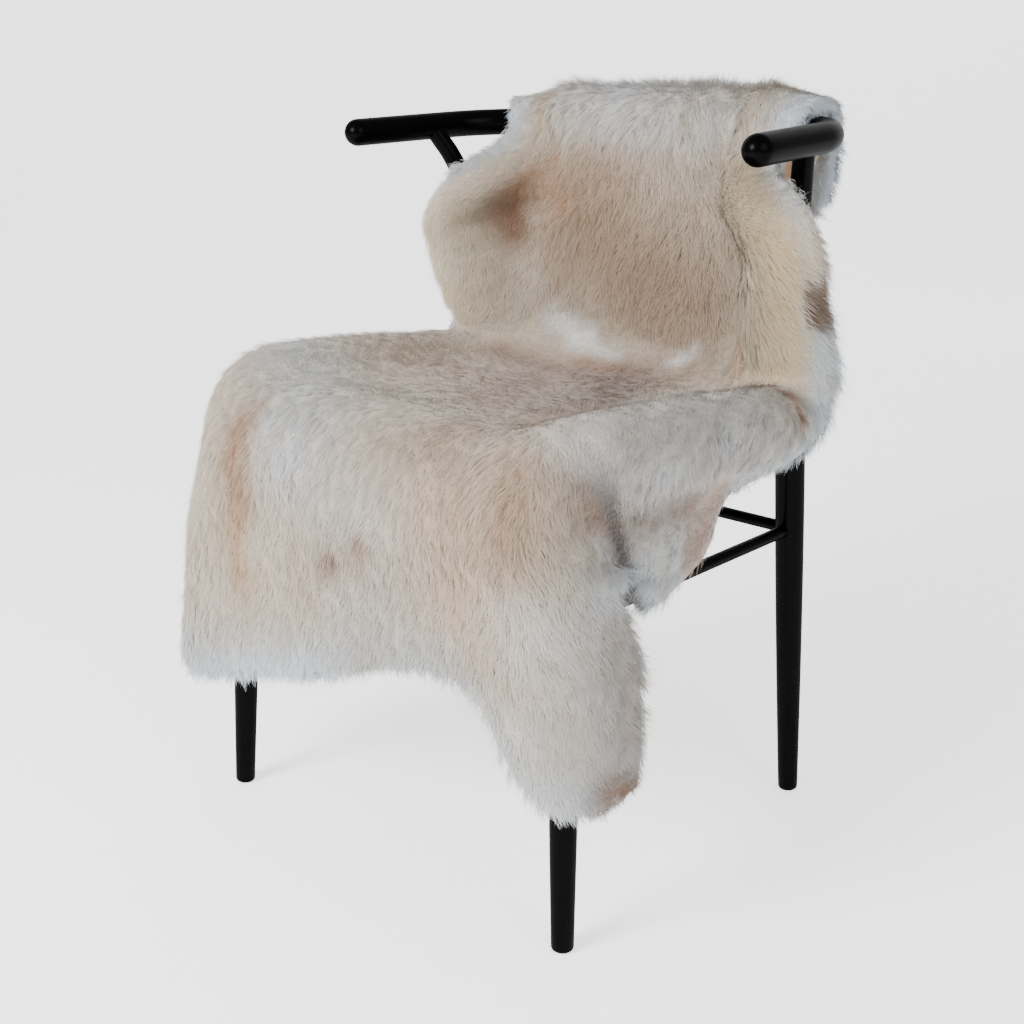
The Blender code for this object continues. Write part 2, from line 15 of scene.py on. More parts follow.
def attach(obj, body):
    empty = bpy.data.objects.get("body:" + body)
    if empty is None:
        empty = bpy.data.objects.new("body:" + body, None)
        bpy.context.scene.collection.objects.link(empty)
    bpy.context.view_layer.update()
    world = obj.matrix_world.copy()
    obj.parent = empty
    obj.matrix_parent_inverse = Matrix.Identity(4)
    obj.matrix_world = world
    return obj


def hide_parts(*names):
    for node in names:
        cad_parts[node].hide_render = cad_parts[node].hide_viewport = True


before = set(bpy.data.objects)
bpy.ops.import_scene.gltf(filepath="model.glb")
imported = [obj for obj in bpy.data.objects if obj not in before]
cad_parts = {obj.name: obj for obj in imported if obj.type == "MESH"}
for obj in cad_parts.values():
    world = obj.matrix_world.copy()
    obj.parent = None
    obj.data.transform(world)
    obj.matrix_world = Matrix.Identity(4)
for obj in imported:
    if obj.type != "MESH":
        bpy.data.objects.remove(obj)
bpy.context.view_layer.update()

# The viewpoint: a little above the rail, off the chair's front right corner, looking down on the seat with an
# ordinary lens. It was found from where the four feet and the rail stand in the picture.
CHAIR_MIDDLE = Vector((-0.0022, 0.0009, 0.0))  # the point on the floor between the four feet
VIEW_FROM = Vector((1.0104, -1.0865, 0.7864))
VIEW_DOWN, VIEW_TURN = math.radians(17.1317), math.radians(43.3867)


def placed(name, data):
    """A new object in the scene that shows the data."""
    item = bpy.data.objects.new(name, data)
    bpy.context.scene.collection.objects.link(item)
    return item


camera_data = bpy.data.cameras.new("camera")
camera_data.lens = 50.63
camera_data.sensor_width = 36.0
camera_data.clip_start = 0.05
camera = placed("camera", camera_data)
camera.location = CHAIR_MIDDLE + VIEW_FROM
camera.rotation_euler = (math.radians(90) - VIEW_DOWN, 0, VIEW_TURN)
bpy.context.scene.camera = camera

# The chair's frame: turned beech legs, a steam-bent top rail and straight bars, glued together and sprayed
# with black satin lacquer. Each bar is a round section swept along its own middle line.
LACQUER_BLACK, LACQUER_WORN = "000000", "030303"
LACQUER_GLOSS = (0.34, 0.44)  # roughness where hands have polished it, and elsewhere
ORANGE_PEEL_MM = 2.2  # spacing of the spray's faint ripples
HANDLING_MM = 45  # spacing of the patches that hands have polished
BAR_SIDES = 48


def linear(hex_colour, alpha=1.0):
    """An sRGB hex colour as the linear colour that sockets take."""
    parts = [int(hex_colour[k : k + 2], 16) / 255 for k in (0, 2, 4)]
    return tuple(p / 12.92 if p <= 0.04045 else ((p + 0.055) / 1.055) ** 2.4 for p in parts) + (alpha,)


def feed(node, **inputs):
    """Sets inputs, by name or by number as in i0, to values, to sockets or to the first outputs of nodes."""
    for name, value in inputs.items():
        matches = [s for s in node.inputs if s.name.replace(" ", "_") == name and s.enabled]
        socket = matches[0] if matches else node.inputs[int(name[1:])]
        value = value.outputs[0] if isinstance(value, bpy.types.Node) else value
        if isinstance(value, bpy.types.NodeSocket):
            node.id_data.links.new(value, socket)
        else:
            socket.default_value = value
    return node


def add(tree, kind, settings=None, **inputs):
    """Adds a node with these properties and inputs."""
    node = tree.nodes.new(kind)
    for name, value in (settings or {}).items():
        setattr(node, name, value)
    return feed(node, **inputs)


def mixed(tree, share, one, other, blend="MIX"):
    """A colour mixed from two."""
    node = add(tree, "ShaderNodeMix", {"data_type": "RGBA", "blend_type": blend}, i0=share, i6=one, i7=other)
    return node.outputs[2]


def grain(tree, size_mm, **inputs):
    """Noise with patches of a size in mm, fixed to the piece."""
    place = add(tree, "ShaderNodeTexCoord").outputs["Object"]
    return add(tree, "ShaderNodeTexNoise", Vector=place, Scale=1000 / size_mm, **inputs)


def new_material(name):
    """A material with its tree and its Principled shader."""
    material = bpy.data.materials.new(name)
    material.use_nodes = True
    return material, material.node_tree, material.node_tree.nodes["Principled BSDF"]


# Sprayed satin lacquer: so black that only soft highlights on a faint clear coat show how round it is
lacquer, tree, shader = new_material("black satin lacquer on beech")
handled = grain(tree, HANDLING_MM, Detail=3.0)
gloss = add(tree, "ShaderNodeMapRange", Value=handled, To_Min=LACQUER_GLOSS[0], To_Max=LACQUER_GLOSS[1])
black = mixed(tree, handled, linear(LACQUER_BLACK), linear(LACQUER_WORN))
peel = grain(tree, ORANGE_PEEL_MM, Detail=1.0)
ripple = add(tree, "ShaderNodeBump", Height=peel, Strength=0.05, Distance=0.0002)
feed(shader, Base_Color=black, Roughness=gloss, Normal=ripple)
feed(shader, IOR=1.5, Specular_IOR_Level=0.004, Coat_Weight=0.06, Coat_Roughness=0.22)


def new_tree(name, **inputs):
    """A node tree for shapes, with inputs of the kinds given and one output."""
    tree = bpy.data.node_groups.new(name, "GeometryNodeTree")
    for label, kind in inputs.items():
        tree.interface.new_socket(label.replace("_", " "), in_out="INPUT", socket_type="NodeSocket" + kind)
    tree.interface.new_socket("Made", in_out="OUTPUT", socket_type="NodeSocketGeometry")
    return tree, add(tree, "NodeGroupInput").outputs


def stored(tree, name, kind="FLOAT"):
    """What is kept under a name for each point of the shape that the tree works on."""
    return add(tree, "GeometryNodeInputNamedAttribute", {"data_type": kind}, Name=name)


# Sweeps a circle along a line of points, each of which holds the bar's radius there
sweep, given = new_tree("round bar along a line", Line="Geometry", Sides="Int", Finish="Material")
line = add(sweep, "GeometryNodeMeshToCurve", Mesh=given["Line"])
ring = add(sweep, "GeometryNodeCurvePrimitiveCircle", Resolution=given["Sides"], Radius=1.0)
girth = stored(sweep, "girth")
swept = add(sweep, "GeometryNodeCurveToMesh", Curve=line, Profile_Curve=ring, Scale=girth, Fill_Caps=True)
whole = add(sweep, "GeometryNodeRealizeInstances", Geometry=swept)
coated = add(sweep, "GeometryNodeSetMaterial", Geometry=whole, Material=given["Finish"])
add(sweep, "NodeGroupOutput", Made=coated)


def grown(item, tree, inputs):
    """The item's mesh after a tree has worked on it, as a plain mesh object of the same name."""
    modifier = item.modifiers.new(tree.name, "NODES")
    modifier.node_group = tree
    for socket in tree.interface.items_tree:
        if socket.name in inputs:
            modifier[socket.identifier] = inputs[socket.name]
    bpy.context.view_layer.update()
    graph = bpy.context.evaluated_depsgraph_get()
    mesh = bpy.data.meshes.new_from_object(item.evaluated_get(graph), depsgraph=graph)
    name = item.name
    bpy.data.objects.remove(item, do_unlink=True)
    return placed(name, mesh)


def outward(mesh):
    """Turns all of a mesh's faces outwards."""
    turned = bmesh.new()
    turned.from_mesh(mesh)
    bmesh.ops.remove_doubles(turned, verts=turned.verts, dist=1e-7)
    bmesh.ops.recalc_face_normals(turned, faces=turned.faces)
    turned.to_mesh(mesh)
    turned.free()


def round_bar(name, node, path, radii):
    """A round bar along a path that stands in for a faceted node of the frame."""
    mesh = bpy.data.meshes.new(name)
    mesh.from_pydata([Vector(p) + CHAIR_MIDDLE for p in path], [(k, k + 1) for k in range(len(path) - 1)], [])
    mesh.attributes.new("girth", "FLOAT", "POINT").data.foreach_set("value", radii)
    item = grown(placed(name, mesh), sweep, {"Sides": BAR_SIDES, "Finish": lacquer})
    outward(item.data)
    item.data.shade_smooth()
    item.data.set_sharp_from_angle(angle=math.radians(50))
    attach(item, "root")
    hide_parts(node)
    return item


# The legs: beech turned to a cigar shape, thickest just under the seat, with a rounded foot. The back pair
# runs on past the seat, flares outwards and leans in under the top rail that it carries.
FRONT_FOOT, BACK_FOOT = (0.2443, -0.2076), (0.2212, 0.2076)
FRONT_LEAN, BACK_LEAN = (-0.042, 0.042), (-0.005, -0.082)  # metres in x and y for each metre up
FOOT_RADIUS = 0.0108
LEG_RADIUS = 0.0155
LEG_THICKEST = 0.400  # height of the fullest girth
FRONT_LEG_TOP = 0.4225
SEAT_HEIGHT = 0.440
RAIL_MEETS_LEG = 0.7215
FLARE_OUT, LEAN_FORWARD, BEND_FORWARD = 0.0355, 0.0114, 0.0466  # of the back leg, by its top
BACK_LEG_TOP_RADIUS = 0.0102
FOOT_ROUNDING = 0.004  # height of the rounded foot
FOOT_FLAT_SHARE = 0.62  # share of the foot's radius that stands flat on the floor
RAIL_RADIUS = 0.015


def leg_radius(height, top, top_radius):
    """A leg's radius at a height: rounded at the foot, fullest under the seat and thinner above it."""
    share = 1.0
    if height < FOOT_ROUNDING:
        share -= (1 - FOOT_FLAT_SHARE) * (1 - math.sqrt(1 - (1 - height / FOOT_ROUNDING) ** 2))
    if height <= LEG_THICKEST:
        rise = math.sin(height / LEG_THICKEST * math.pi / 2)
        return share * (FOOT_RADIUS + (LEG_RADIUS - FOOT_RADIUS) * rise)
    return LEG_RADIUS + (top_radius - LEG_RADIUS) * (height - LEG_THICKEST) / (top - LEG_THICKEST)


def front_leg_axis(side, height):
    x = FRONT_FOOT[0] + FRONT_LEAN[0] * height
    return side * x, FRONT_FOOT[1] + FRONT_LEAN[1] * height, height


def back_leg_axis(side, height):
    x = BACK_FOOT[0] + BACK_LEAN[0] * min(height, SEAT_HEIGHT)
    y = BACK_FOOT[1] + BACK_LEAN[1] * min(height, SEAT_HEIGHT)
    above = max(0.0, (height - SEAT_HEIGHT) / (RAIL_MEETS_LEG - SEAT_HEIGHT))
    return side * (x + FLARE_OUT * above**4), y - LEAN_FORWARD * above - BEND_FORWARD * above**4, height


for word, side in (("left", -1), ("right", 1)):
    foot = [FOOT_ROUNDING * share for share in (0, 0.04, 0.15, 0.35, 0.65, 1)]
    heights = foot + list(np.linspace(0.03, FRONT_LEG_TOP, 14))
    radii = [leg_radius(h, FRONT_LEG_TOP, LEG_RADIUS) for h in heights]
    axis = [front_leg_axis(side, h) for h in heights]
    round_bar(f"turned_front_leg_{word}", f"front_leg_{word}", axis, radii)
    heights = foot + list(np.linspace(0.03, RAIL_MEETS_LEG - 0.006, 32))
    radii = [leg_radius(h, RAIL_MEETS_LEG, BACK_LEG_TOP_RADIUS) for h in heights]
    axis = [back_leg_axis(side, h) for h in heights]
    round_bar(f"turned_back_leg_{word}", f"back_leg_{word}", axis, radii)

# The top rail: one beech dowel, steamed and bent to a horseshoe, open at the front, with domed ends. It is
# bored from below and glued down on the thin tops of the back legs.
RAIL_END = Vector((0.2712, -0.0026, 0.7163))
RAIL_SPLAY = 0.1208  # how far each arm turns outwards, in radians
RAIL_RISE = 0.0441  # metres up for each metre back
ARM_LENGTH = 0.140
BEND_RADIUS = 0.100
ARM_AHEAD = Vector((-math.sin(RAIL_SPLAY), math.cos(RAIL_SPLAY)))
ARM_INWARDS = Vector((-ARM_AHEAD.y, ARM_AHEAD.x))
BEND_CENTRE = RAIL_END.xy + ARM_AHEAD * ARM_LENGTH + ARM_INWARDS * BEND_RADIUS
ARM_START = 0.12  # share of the arm at which its dome begins


def rail_point(flat, across):
    return Vector((across * flat.x, flat.y, RAIL_END.z + RAIL_RISE * (flat.y - RAIL_END.y)))


half = [RAIL_END.xy + ARM_AHEAD * ARM_LENGTH * share for share in np.linspace(ARM_START, 1, 7)]
for angle in np.linspace(0, math.pi / 2 - RAIL_SPLAY, 25)[1:]:
    half.append(BEND_CENTRE + (ARM_AHEAD * math.sin(angle) - ARM_INWARDS * math.cos(angle)) * BEND_RADIUS)
half.append(Vector((half[-1].x / 2, half[-1].y)))
axis = [rail_point(p, 1) for p in half] + [rail_point(Vector((0, half[-1].y)), 1)]
axis += [rail_point(p, -1) for p in reversed(half)]
ahead = (axis[0] - axis[1]).normalized()
dome = [(math.sin(a) * RAIL_RADIUS, math.cos(a) * RAIL_RADIUS) for a in np.linspace(1.5, 0.1, 12)]
right_dome = [axis[0] + ahead * out for out, _ in dome]
left_dome = [Vector((-p.x, p.y, p.z)) for p in reversed(right_dome)]
radii = [r for _, r in dome] + [RAIL_RADIUS] * len(axis) + [r for _, r in reversed(dome)]
round_bar("bent_top_rail", "top_rail", right_dome + axis + left_dome, radii)

# The bars: four seat rails under the seat and three thin stretchers lower down, cut from beech dowel. Their
# ends are glued into holes bored in the legs.
STRETCHER_HEIGHT = 0.3165
STRETCHER_RADIUS = 0.0065
SEAT_RAIL_HEIGHT = 0.4135
SEAT_RAIL_RADIUS = 0.009
BAR_INSET = 0.97  # share of the leg's radius at which a bar's end stops


def doweled_bar(kind, node, start, end, radius, height):
    """A straight bar whose ends stop just inside the faces of the legs that hold it."""
    start, end = Vector(start), Vector(end)
    leg = leg_radius(height, RAIL_MEETS_LEG, BACK_LEG_TOP_RADIUS)
    inset = (end - start).normalized() * leg * BAR_INSET
    path = [start + inset, start.lerp(end, 0.5), end - inset]
    round_bar(f"doweled_{kind}", node, path, [radius] * 3)


for kind, height, radius in (
    ("stretcher", STRETCHER_HEIGHT, STRETCHER_RADIUS),
    ("seat_rail", SEAT_RAIL_HEIGHT, SEAT_RAIL_RADIUS),
):
    for word, side in (("left", -1), ("right", 1)):
        ends = front_leg_axis(side, height), back_leg_axis(side, height)
        doweled_bar(f"side_{kind}_{word}", f"side_{kind}_{word}", *ends, radius, height)
    ends = back_leg_axis(-1, height), back_leg_axis(1, height)
    doweled_bar(f"back_{kind}", f"back_{kind}", *ends, radius, height)
ends = front_leg_axis(-1, SEAT_RAIL_HEIGHT), front_leg_axis(1, SEAT_RAIL_HEIGHT)
doweled_bar("front_seat_rail", "front_seat_rail", *ends, SEAT_RAIL_RADIUS, SEAT_RAIL_HEIGHT)

# The seat board: plywood with its edge rounded over, sprayed with the frame and screwed to the seat rails
# from below. The rug hides nearly all of it.
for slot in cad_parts["seat_board"].material_slots:
    slot.material = lacquer

# The skin's lie, in mm: it runs from the hem behind the rail over the rail, down the back, over the seat and
# down the front. middle is (y, z), a brow is where it turns down at a side and a hem is its cut edge, both
# (x, y, z). A wrap lies round the rail, turned so many degrees towards the back.
Section = namedtuple("Section", "name steps middle left_brow left_hem right_brow right_hem")
Wrap = namedtuple("Wrap", "name steps turn left right")
SECTIONS = [row if isinstance(row, Wrap) else Section(*row) for row in (
    ("back hem", 3, (250, 634), (-128, 252, 646), (-178, 244, 672), (122, 252, 640), (172, 246, 660)),
    Wrap("rail back", 2, 90, -200, 192),
    Wrap("rail crown", 2, 50, -203, 197),
    Wrap("over rail", 2, 0, -205, 202),
    Wrap("rail brow", 2, -45, -203, 203),
    Wrap("rail front", 2, -90, -200, 203),
    ("neck", 2, (200, 684), (-156, 188, 686), (-200, 158, 692), (160, 180, 684), (212, 140, 689)),
    ("shoulder", 2, (197, 662), (-184, 132, 664), (-208, 112, 674), (192, 122, 663), (266, 100, 665)),
    ("strut", 3, (193, 636), (-216, 114, 640), (-238, 124, 642), (226, 110, 637), (274, 104, 638)),
    ("upper back", 3, (186, 588), (-220, 124, 588), (-248, 150, 590), (224, 126, 588), (246, 134, 590)),
    ("lower back", 4, (176, 530), (-212, 134, 530), (-238, 160, 536), (220, 134, 530), (246, 154, 532)),
    ("crease", 3, (152, 474), (-208, 128, 484), (-226, 142, 492), (222, 124, 486), (260, 148, 488)),
    ("seat back", 4, (96, 445), (-224, 92, 466), (-240, 96, 414), (246, 96, 466), (262, 104, 440)),
    ("seat middle", 4, (-20, 445), (-230, -18, 469), (-244, -14, 394), (252, -16, 467), (258, -14, 408)),
    ("seat front", 3, (-136, 446), (-234, -146, 475), (-246, -116, 382), (252, -130, 466), (256, -108, 358)),
    ("front edge", 3, (-216, 448), (-234, -214, 456), (-262, -172, 388), (244, -208, 458), (250, -158, 352)),
    ("front upper", 3, (-238, 410), (-230, -226, 405), (-260, -194, 380), (240, -236, 410), (268, -202, 380)),
    ("front lower", 4, (-240, 330), (-234, -232, 330), (-264, -200, 326), (242, -240, 330), (270, -184, 326)),
    ("front hem", 0, (-242, 200), (-246, -240, 200), (-274, -208, 200), (250, -240, 200), (278, -178, 200)),
)]
VALLEY_SHARE = 0.68  # how far out towards the brow the skin stays low
WRAP_BROW = 150
WRAP_CLEAR, SEAT_CLEAR = 2.0, 0.4  # how far the skin stands off the rail and the seat
SEAT_FRONT_HALF, SEAT_FRONT_Y, SEAT_BACK_Y = 232, -216, 152
ACROSS_KNOTS = (-300, -230, -150, 0, 150, 230, 300)
FRONT_HEM = {  # its height above the floor, by place across the skin
    -300: 188, -230: 178, -120: 206, 0: 250, 75: 283, 150: 288, 185: 270, 225: 204, 265: 186, 300: 196,
}
FRONT_TOP = 448
SKIN_COLUMNS = 36
CROWDING = 0.25  # how much closer the columns stand near the skin's sides
FINER = 3  # how many fine steps there are to each of the solid's


def spline(knots, values, at):
    """A smooth curve through the values at the knots, read at each number in at."""
    knots, at, values = (np.asarray(v, float) for v in (knots, at, values))
    step = np.diff(knots)
    shape = (-1,) + (1,) * (values.ndim - 1)
    slope = np.diff(values, axis=0) / step.reshape(shape)
    tangent = np.empty_like(values)
    before, after = step[:-1].reshape(shape), step[1:].reshape(shape)
    tangent[1:-1] = (slope[:-1] * after + slope[1:] * before) / (before + after)
    tangent[0], tangent[-1] = slope[0], slope[-1]
    i = np.clip(np.searchsorted(knots, at, side="right") - 1, 0, len(step) - 1)
    h = step[i].reshape(shape)
    u = ((at - knots[i]) / step[i]).reshape(shape)
    ends = (2 * u**3 - 3 * u**2 + 1) * values[i] + (3 * u**2 - 2 * u**3) * values[i + 1]
    return ends + h * ((u**3 - 2 * u**2 + u) * tangent[i] + (u**3 - u**2) * tangent[i + 1])


def finer(values):
    """The same rows of points with FINER times as many steps between them, on smooth curves."""
    count = len(values)
    return spline(np.arange(count), values, np.linspace(0, count - 1, (count - 1) * FINER + 1))


def rail_place(x, turn, reach):
    """A point turned round the rail from its top towards the back, at a reach from the rail's middle line."""
    centre = BEND_CENTRE * 1000
    swing = math.asin(max(0, abs(x) - centre.x) / (BEND_RADIUS * 1000))
    back, up = (reach * f(math.radians(turn)) for f in (math.sin, math.cos))
    y = centre.y + BEND_RADIUS * 1000 * math.cos(swing)
    z = 1000 * (RAIL_END.z - RAIL_RISE * RAIL_END.y) + RAIL_RISE * y
    return x + math.copysign(math.sin(swing), x) * back, y + math.cos(swing) * back, z + up


def control_net():
    """Seven points across each section: hem, brow, valley, middle, valley, brow, hem."""
    net = []
    for s in SECTIONS:
        if isinstance(s, Wrap):
            valley = VALLEY_SHARE * WRAP_BROW
            places = (s.left, -WRAP_BROW, -valley, 0, valley, WRAP_BROW, s.right)
            net.append([rail_place(x, s.turn, RAIL_RADIUS * 1000 + WRAP_CLEAR) for x in places])
            continue
        middle = np.array([0.0, *s.middle])
        valleys = [middle + (VALLEY_SHARE * brow[0], 0, 0) for brow in (s.left_brow, s.right_brow)]
        net.append([s.left_hem, s.left_brow, valleys[0], middle, valleys[1], s.right_brow, s.right_hem])
    return np.array(net)


def rest_on_chair(grid):
    """Lifts the underside off the seat and pushes it off the rail, wherever it would sink into them."""
    x, y, z = grid[..., 0], grid[..., 1], grid[..., 2]
    centre, bend = BEND_CENTRE * 1000, BEND_RADIUS * 1000
    over = np.maximum(0, np.abs(x) - centre.x)
    radius = np.hypot(over, y - centre.y)
    off = radius - bend
    rise = z - 1000 * (RAIL_END.z - RAIL_RISE * RAIL_END.y) - RAIL_RISE * y
    away = np.hypot(off, rise)
    push = np.maximum(RAIL_RADIUS * 1000 + WRAP_CLEAR - away, 0) / away
    push[radius < bend / 2] = 0
    grid[..., 0] += push * off * np.sign(x) * over / radius
    grid[..., 1] += push * off * (y - centre.y) / radius
    grid[..., 2] += push * rise
    on_seat = (np.abs(x) < SEAT_FRONT_HALF) & (y > SEAT_FRONT_Y) & (y < SEAT_BACK_Y)
    grid[on_seat, 2] = np.maximum(grid[on_seat, 2], SEAT_HEIGHT * 1000 + SEAT_CLEAR)


net = control_net()
along = np.concatenate([[0], np.cumsum(np.linalg.norm(np.diff(net[:, 3], axis=0), axis=1))])
along_of = {s.name: place for s, place in zip(SECTIONS, along)}
shares = np.cumsum([0] + [1 / s.steps for s in SECTIONS[:-1] for _ in range(s.steps)])
row_along = np.interp(shares, range(len(SECTIONS)), along)
share = np.linspace(-1, 1, SKIN_COLUMNS)
row_across = ACROSS_KNOTS[-1] * ((1 + CROWDING) * share - CROWDING * share**3)
under = spline(ACROSS_KNOTS, spline(along, net, row_along).transpose(1, 0, 2), row_across).transpose(1, 0, 2)
hem = spline(list(FRONT_HEM), list(FRONT_HEM.values()), row_across)
hanging = row_along > along_of["front edge"]
drop = FRONT_TOP - under[hanging][:, :, 2]
under[hanging, :, 2] = FRONT_TOP - drop * (FRONT_TOP - hem) / (FRONT_TOP - under[-1, :, 2])
rest_on_chair(under)


def unit(vectors):
    return vectors / np.maximum(np.linalg.norm(vectors, axis=-1, keepdims=True), 1e-9)


normal = np.cross(np.gradient(under, axis=0), np.gradient(under, axis=1))
for _ in range(3):
    normal = unit(normal)
    padded = np.pad(normal, ((1, 1), (1, 1), (0, 0)), mode="edge")
    normal = normal + (padded[2:, 1:-1] + padded[:-2, 1:-1] + padded[1:-1, 2:] + padded[1:-1, :-2]) / 2
normal = unit(normal)

# How deep the wool is, in mm, and where a fold or a sitter thins or thickens it
PILE = 34
THINNEST_PILE = 9
HANG = 0.3  # how far the wool's own weight draws it down
Fold = namedtuple("Fold", "name start end width pile")
FOLDS = [
    Fold("neck behind rail", ("back hem", -200), ("back hem", 200), 90, 24),
    Fold("on the rail", ("over rail", -150), ("over rail", 170), 40, 29),
    Fold("left of rail", ("rail back", -300), ("rail front", -300), 64, 14),
    Fold("right of rail", ("rail back", 300), ("rail front", 300), 44, 20),
    Fold("left neck", ("neck", -300), ("shoulder", -300), 36, 12),
    Fold("right neck", ("neck", 300), ("shoulder", 300), 36, 12),
    Fold("left crease", ("neck", -180), ("upper back", -165), 34, 20),
    Fold("right crease", ("rail front", 168), ("lower back", 172), 22, 15),
    Fold("right lobe", ("upper back", 240), ("lower back", 240), 40, 40),
    Fold("seat crease", ("crease", -230), ("crease", 230), 55, 19),
    Fold("sat-on middle", ("seat back", -60), ("seat middle", 40), 110, 20),
    Fold("right seat valley", ("seat middle", 150), ("seat back", 190), 36, 22),
    Fold("side roll", ("seat front", 225), ("seat back", 240), 32, 44),
    Fold("side pinch", ("seat front", 256), ("seat back", 314), 14, 12),
    Fold("under flap", ("seat middle", 285), ("seat middle", 300), 26, 14),
    Fold("left waist", ("crease", -300), ("crease", -270), 30, 16),
    Fold("slit", ("front edge", 300), ("front edge", 262), 20, 9),
    Fold("flap edge", ("front upper", 300), ("front lower", 300), 16, 30),
    Fold("left pinch", ("seat front", -262), ("front edge", -244), 20, 14),
    Fold("left front corner", ("front edge", -240), ("front upper", -250), 40, 16),
]
LUMP_SIZE, LUMP_DEPTH = 46, 4
RIM_REACH = 0.64  # share of the pile by which it stands out past the hem
RIM = ((0.6, 0.04), (1.0, 0.24), (1.0, 0.56), (0.66, 0.88))  # its rounding: shares of that and of the pile


def nearness(places, mark):
    """How near each place on the skin is to the line of a mark on it, from 1 on the line down to 0."""
    start, end = (np.array([along_of.get(a, a), b], float) for a, b in (mark.start, mark.end))
    run = end - start
    reach = np.clip(((places - start) @ run) / max(run @ run, 1e-9), 0, 1)
    away = np.linalg.norm(places - start - reach[..., None] * run, axis=-1)
    return np.exp(-((away / mark.width) ** 2))


def noise_on(grid, size):
    """Smooth noise at each point of a grid, with patches of a size in mm."""
    return np.array([[noise.noise(Vector(p) / size) for p in row] for row in grid])


places = np.stack(np.meshgrid(row_along, row_across, indexing="ij"), axis=2)
pile = np.full(under.shape[:2], float(PILE))
for fold in FOLDS:
    pile += (fold.pile - PILE) * nearness(places, fold)
pile = np.maximum(pile, THINNEST_PILE) + LUMP_DEPTH * noise_on(under, LUMP_SIZE)
tips = (normal + HANG * (normal * normal[..., 2:] - (0, 0, 1))) * pile[..., None]


def edge_path(rows, columns):
    """Grid places round the skin's edge, in order."""
    path = [(0, j) for j in range(columns)]
    path += [(i, columns - 1) for i in range(1, rows)]
    path += [(rows - 1, j) for j in range(columns - 2, -1, -1)]
    path += [(i, 0) for i in range(rows - 2, 0, -1)]
    return tuple(np.array(path).T)


rows, columns = under.shape[:2]
edge = edge_path(rows, columns)
inner = (np.clip(edge[0], 1, rows - 2), np.clip(edge[1], 1, columns - 2))
out = under[edge] - under[inner]
for _ in range(3):
    out = unit(out - normal[edge] * np.sum(out * normal[edge], axis=1, keepdims=True))
    out = out * 2 + np.roll(out, 1, axis=0) + np.roll(out, -1, axis=0)
out = unit(out)

# The pelt: sheep leather tanned with the wool on, about 2 mm thick, suede on its flesh side, and cut by hand.
# It lies on the seat and over the rail, and only its own weight holds it there.
PELT_THICKNESS = 0.002
SUEDE, SUEDE_PALE = "b89a80", "d8c3ab"
SUEDE_BLOTCH_MM = 1000 / 14
SUEDE_NAP_MM = 1.6
SUEDE_WRINKLE_MM = 38


def fine_grid(values):
    return finer(finer(values).swapaxes(0, 1)).swapaxes(0, 1)


def fine_loop(values):
    """The same closed loop with FINER times as many points."""
    around = np.concatenate([values[-3:], values, values[:4]])
    return finer(around)[3 * FINER : -3 * FINER - 1]


def metres(points):
    return np.asarray(points).reshape(-1, 3) / 1000 + np.array(CHAIR_MIDDLE)


def mesh_object(name, points, faces, material):
    mesh = bpy.data.meshes.new(name)
    mesh.from_pydata(points, [], faces)
    mesh.materials.append(material)
    mesh.shade_smooth()
    return placed(name, mesh)


def grid_faces(rows, columns, first=0, flip=False):
    a = (first + np.arange(rows - 1)[:, None] * columns + np.arange(columns - 1)[None, :]).reshape(-1)
    quads = np.stack([a, a + 1, a + columns + 1, a + columns], axis=1)
    return quads[:, ::-1] if flip else quads


def ring_faces(low, high):
    """Faces between two closed loops of points."""
    low, high = np.asarray(low), np.asarray(high)
    return np.stack([low, high, np.roll(high, -1), np.roll(low, -1)], axis=1)


fine_under = fine_grid(under)
fine_normal = unit(fine_grid(normal))
fine_tips = fine_grid(tips)
fine_rows, fine_columns = fine_under.shape[:2]
fine_edge = edge_path(fine_rows, fine_columns)
fine_out = unit(fine_loop(out))
fine_along = finer(row_along)
fine_across = finer(row_across)
count = fine_rows * fine_columns
edge_points = fine_edge[0] * fine_columns + fine_edge[1]

# Suede: the napped flesh side, matt and warm, with pale blotches from tanning and soft creases
suede, tree, shader = new_material("suede side of tanned sheepskin")
blotch = grain(tree, SUEDE_BLOTCH_MM, Detail=8.0, Roughness=0.7)
tan = mixed(tree, blotch, linear(SUEDE), linear(SUEDE_PALE))
nap = grain(tree, SUEDE_NAP_MM, Detail=3.0)
fuzz = add(tree, "ShaderNodeBump", Height=nap, Strength=0.5, Distance=0.0006)
wrinkles = grain(tree, SUEDE_WRINKLE_MM, Detail=6.0, Distortion=1.2)
wrinkled = add(tree, "ShaderNodeBump", Height=wrinkles, Strength=0.6, Distance=0.004, Normal=fuzz)
feed(shader, Base_Color=tan, Normal=wrinkled)
feed(shader, Roughness=0.95, Sheen_Weight=0.3, Sheen_Roughness=0.5)

wool_side = fine_under + fine_normal * PELT_THICKNESS * 1000
faces = np.concatenate([
    grid_faces(fine_rows, fine_columns),
    grid_faces(fine_rows, fine_columns, count, flip=True),
    ring_faces(edge_points, edge_points + count),
])
pelt = mesh_object("pelt_leather", metres(np.stack([fine_under, wool_side])), faces.tolist(), suede)
outward(pelt.data)
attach(pelt, "root")

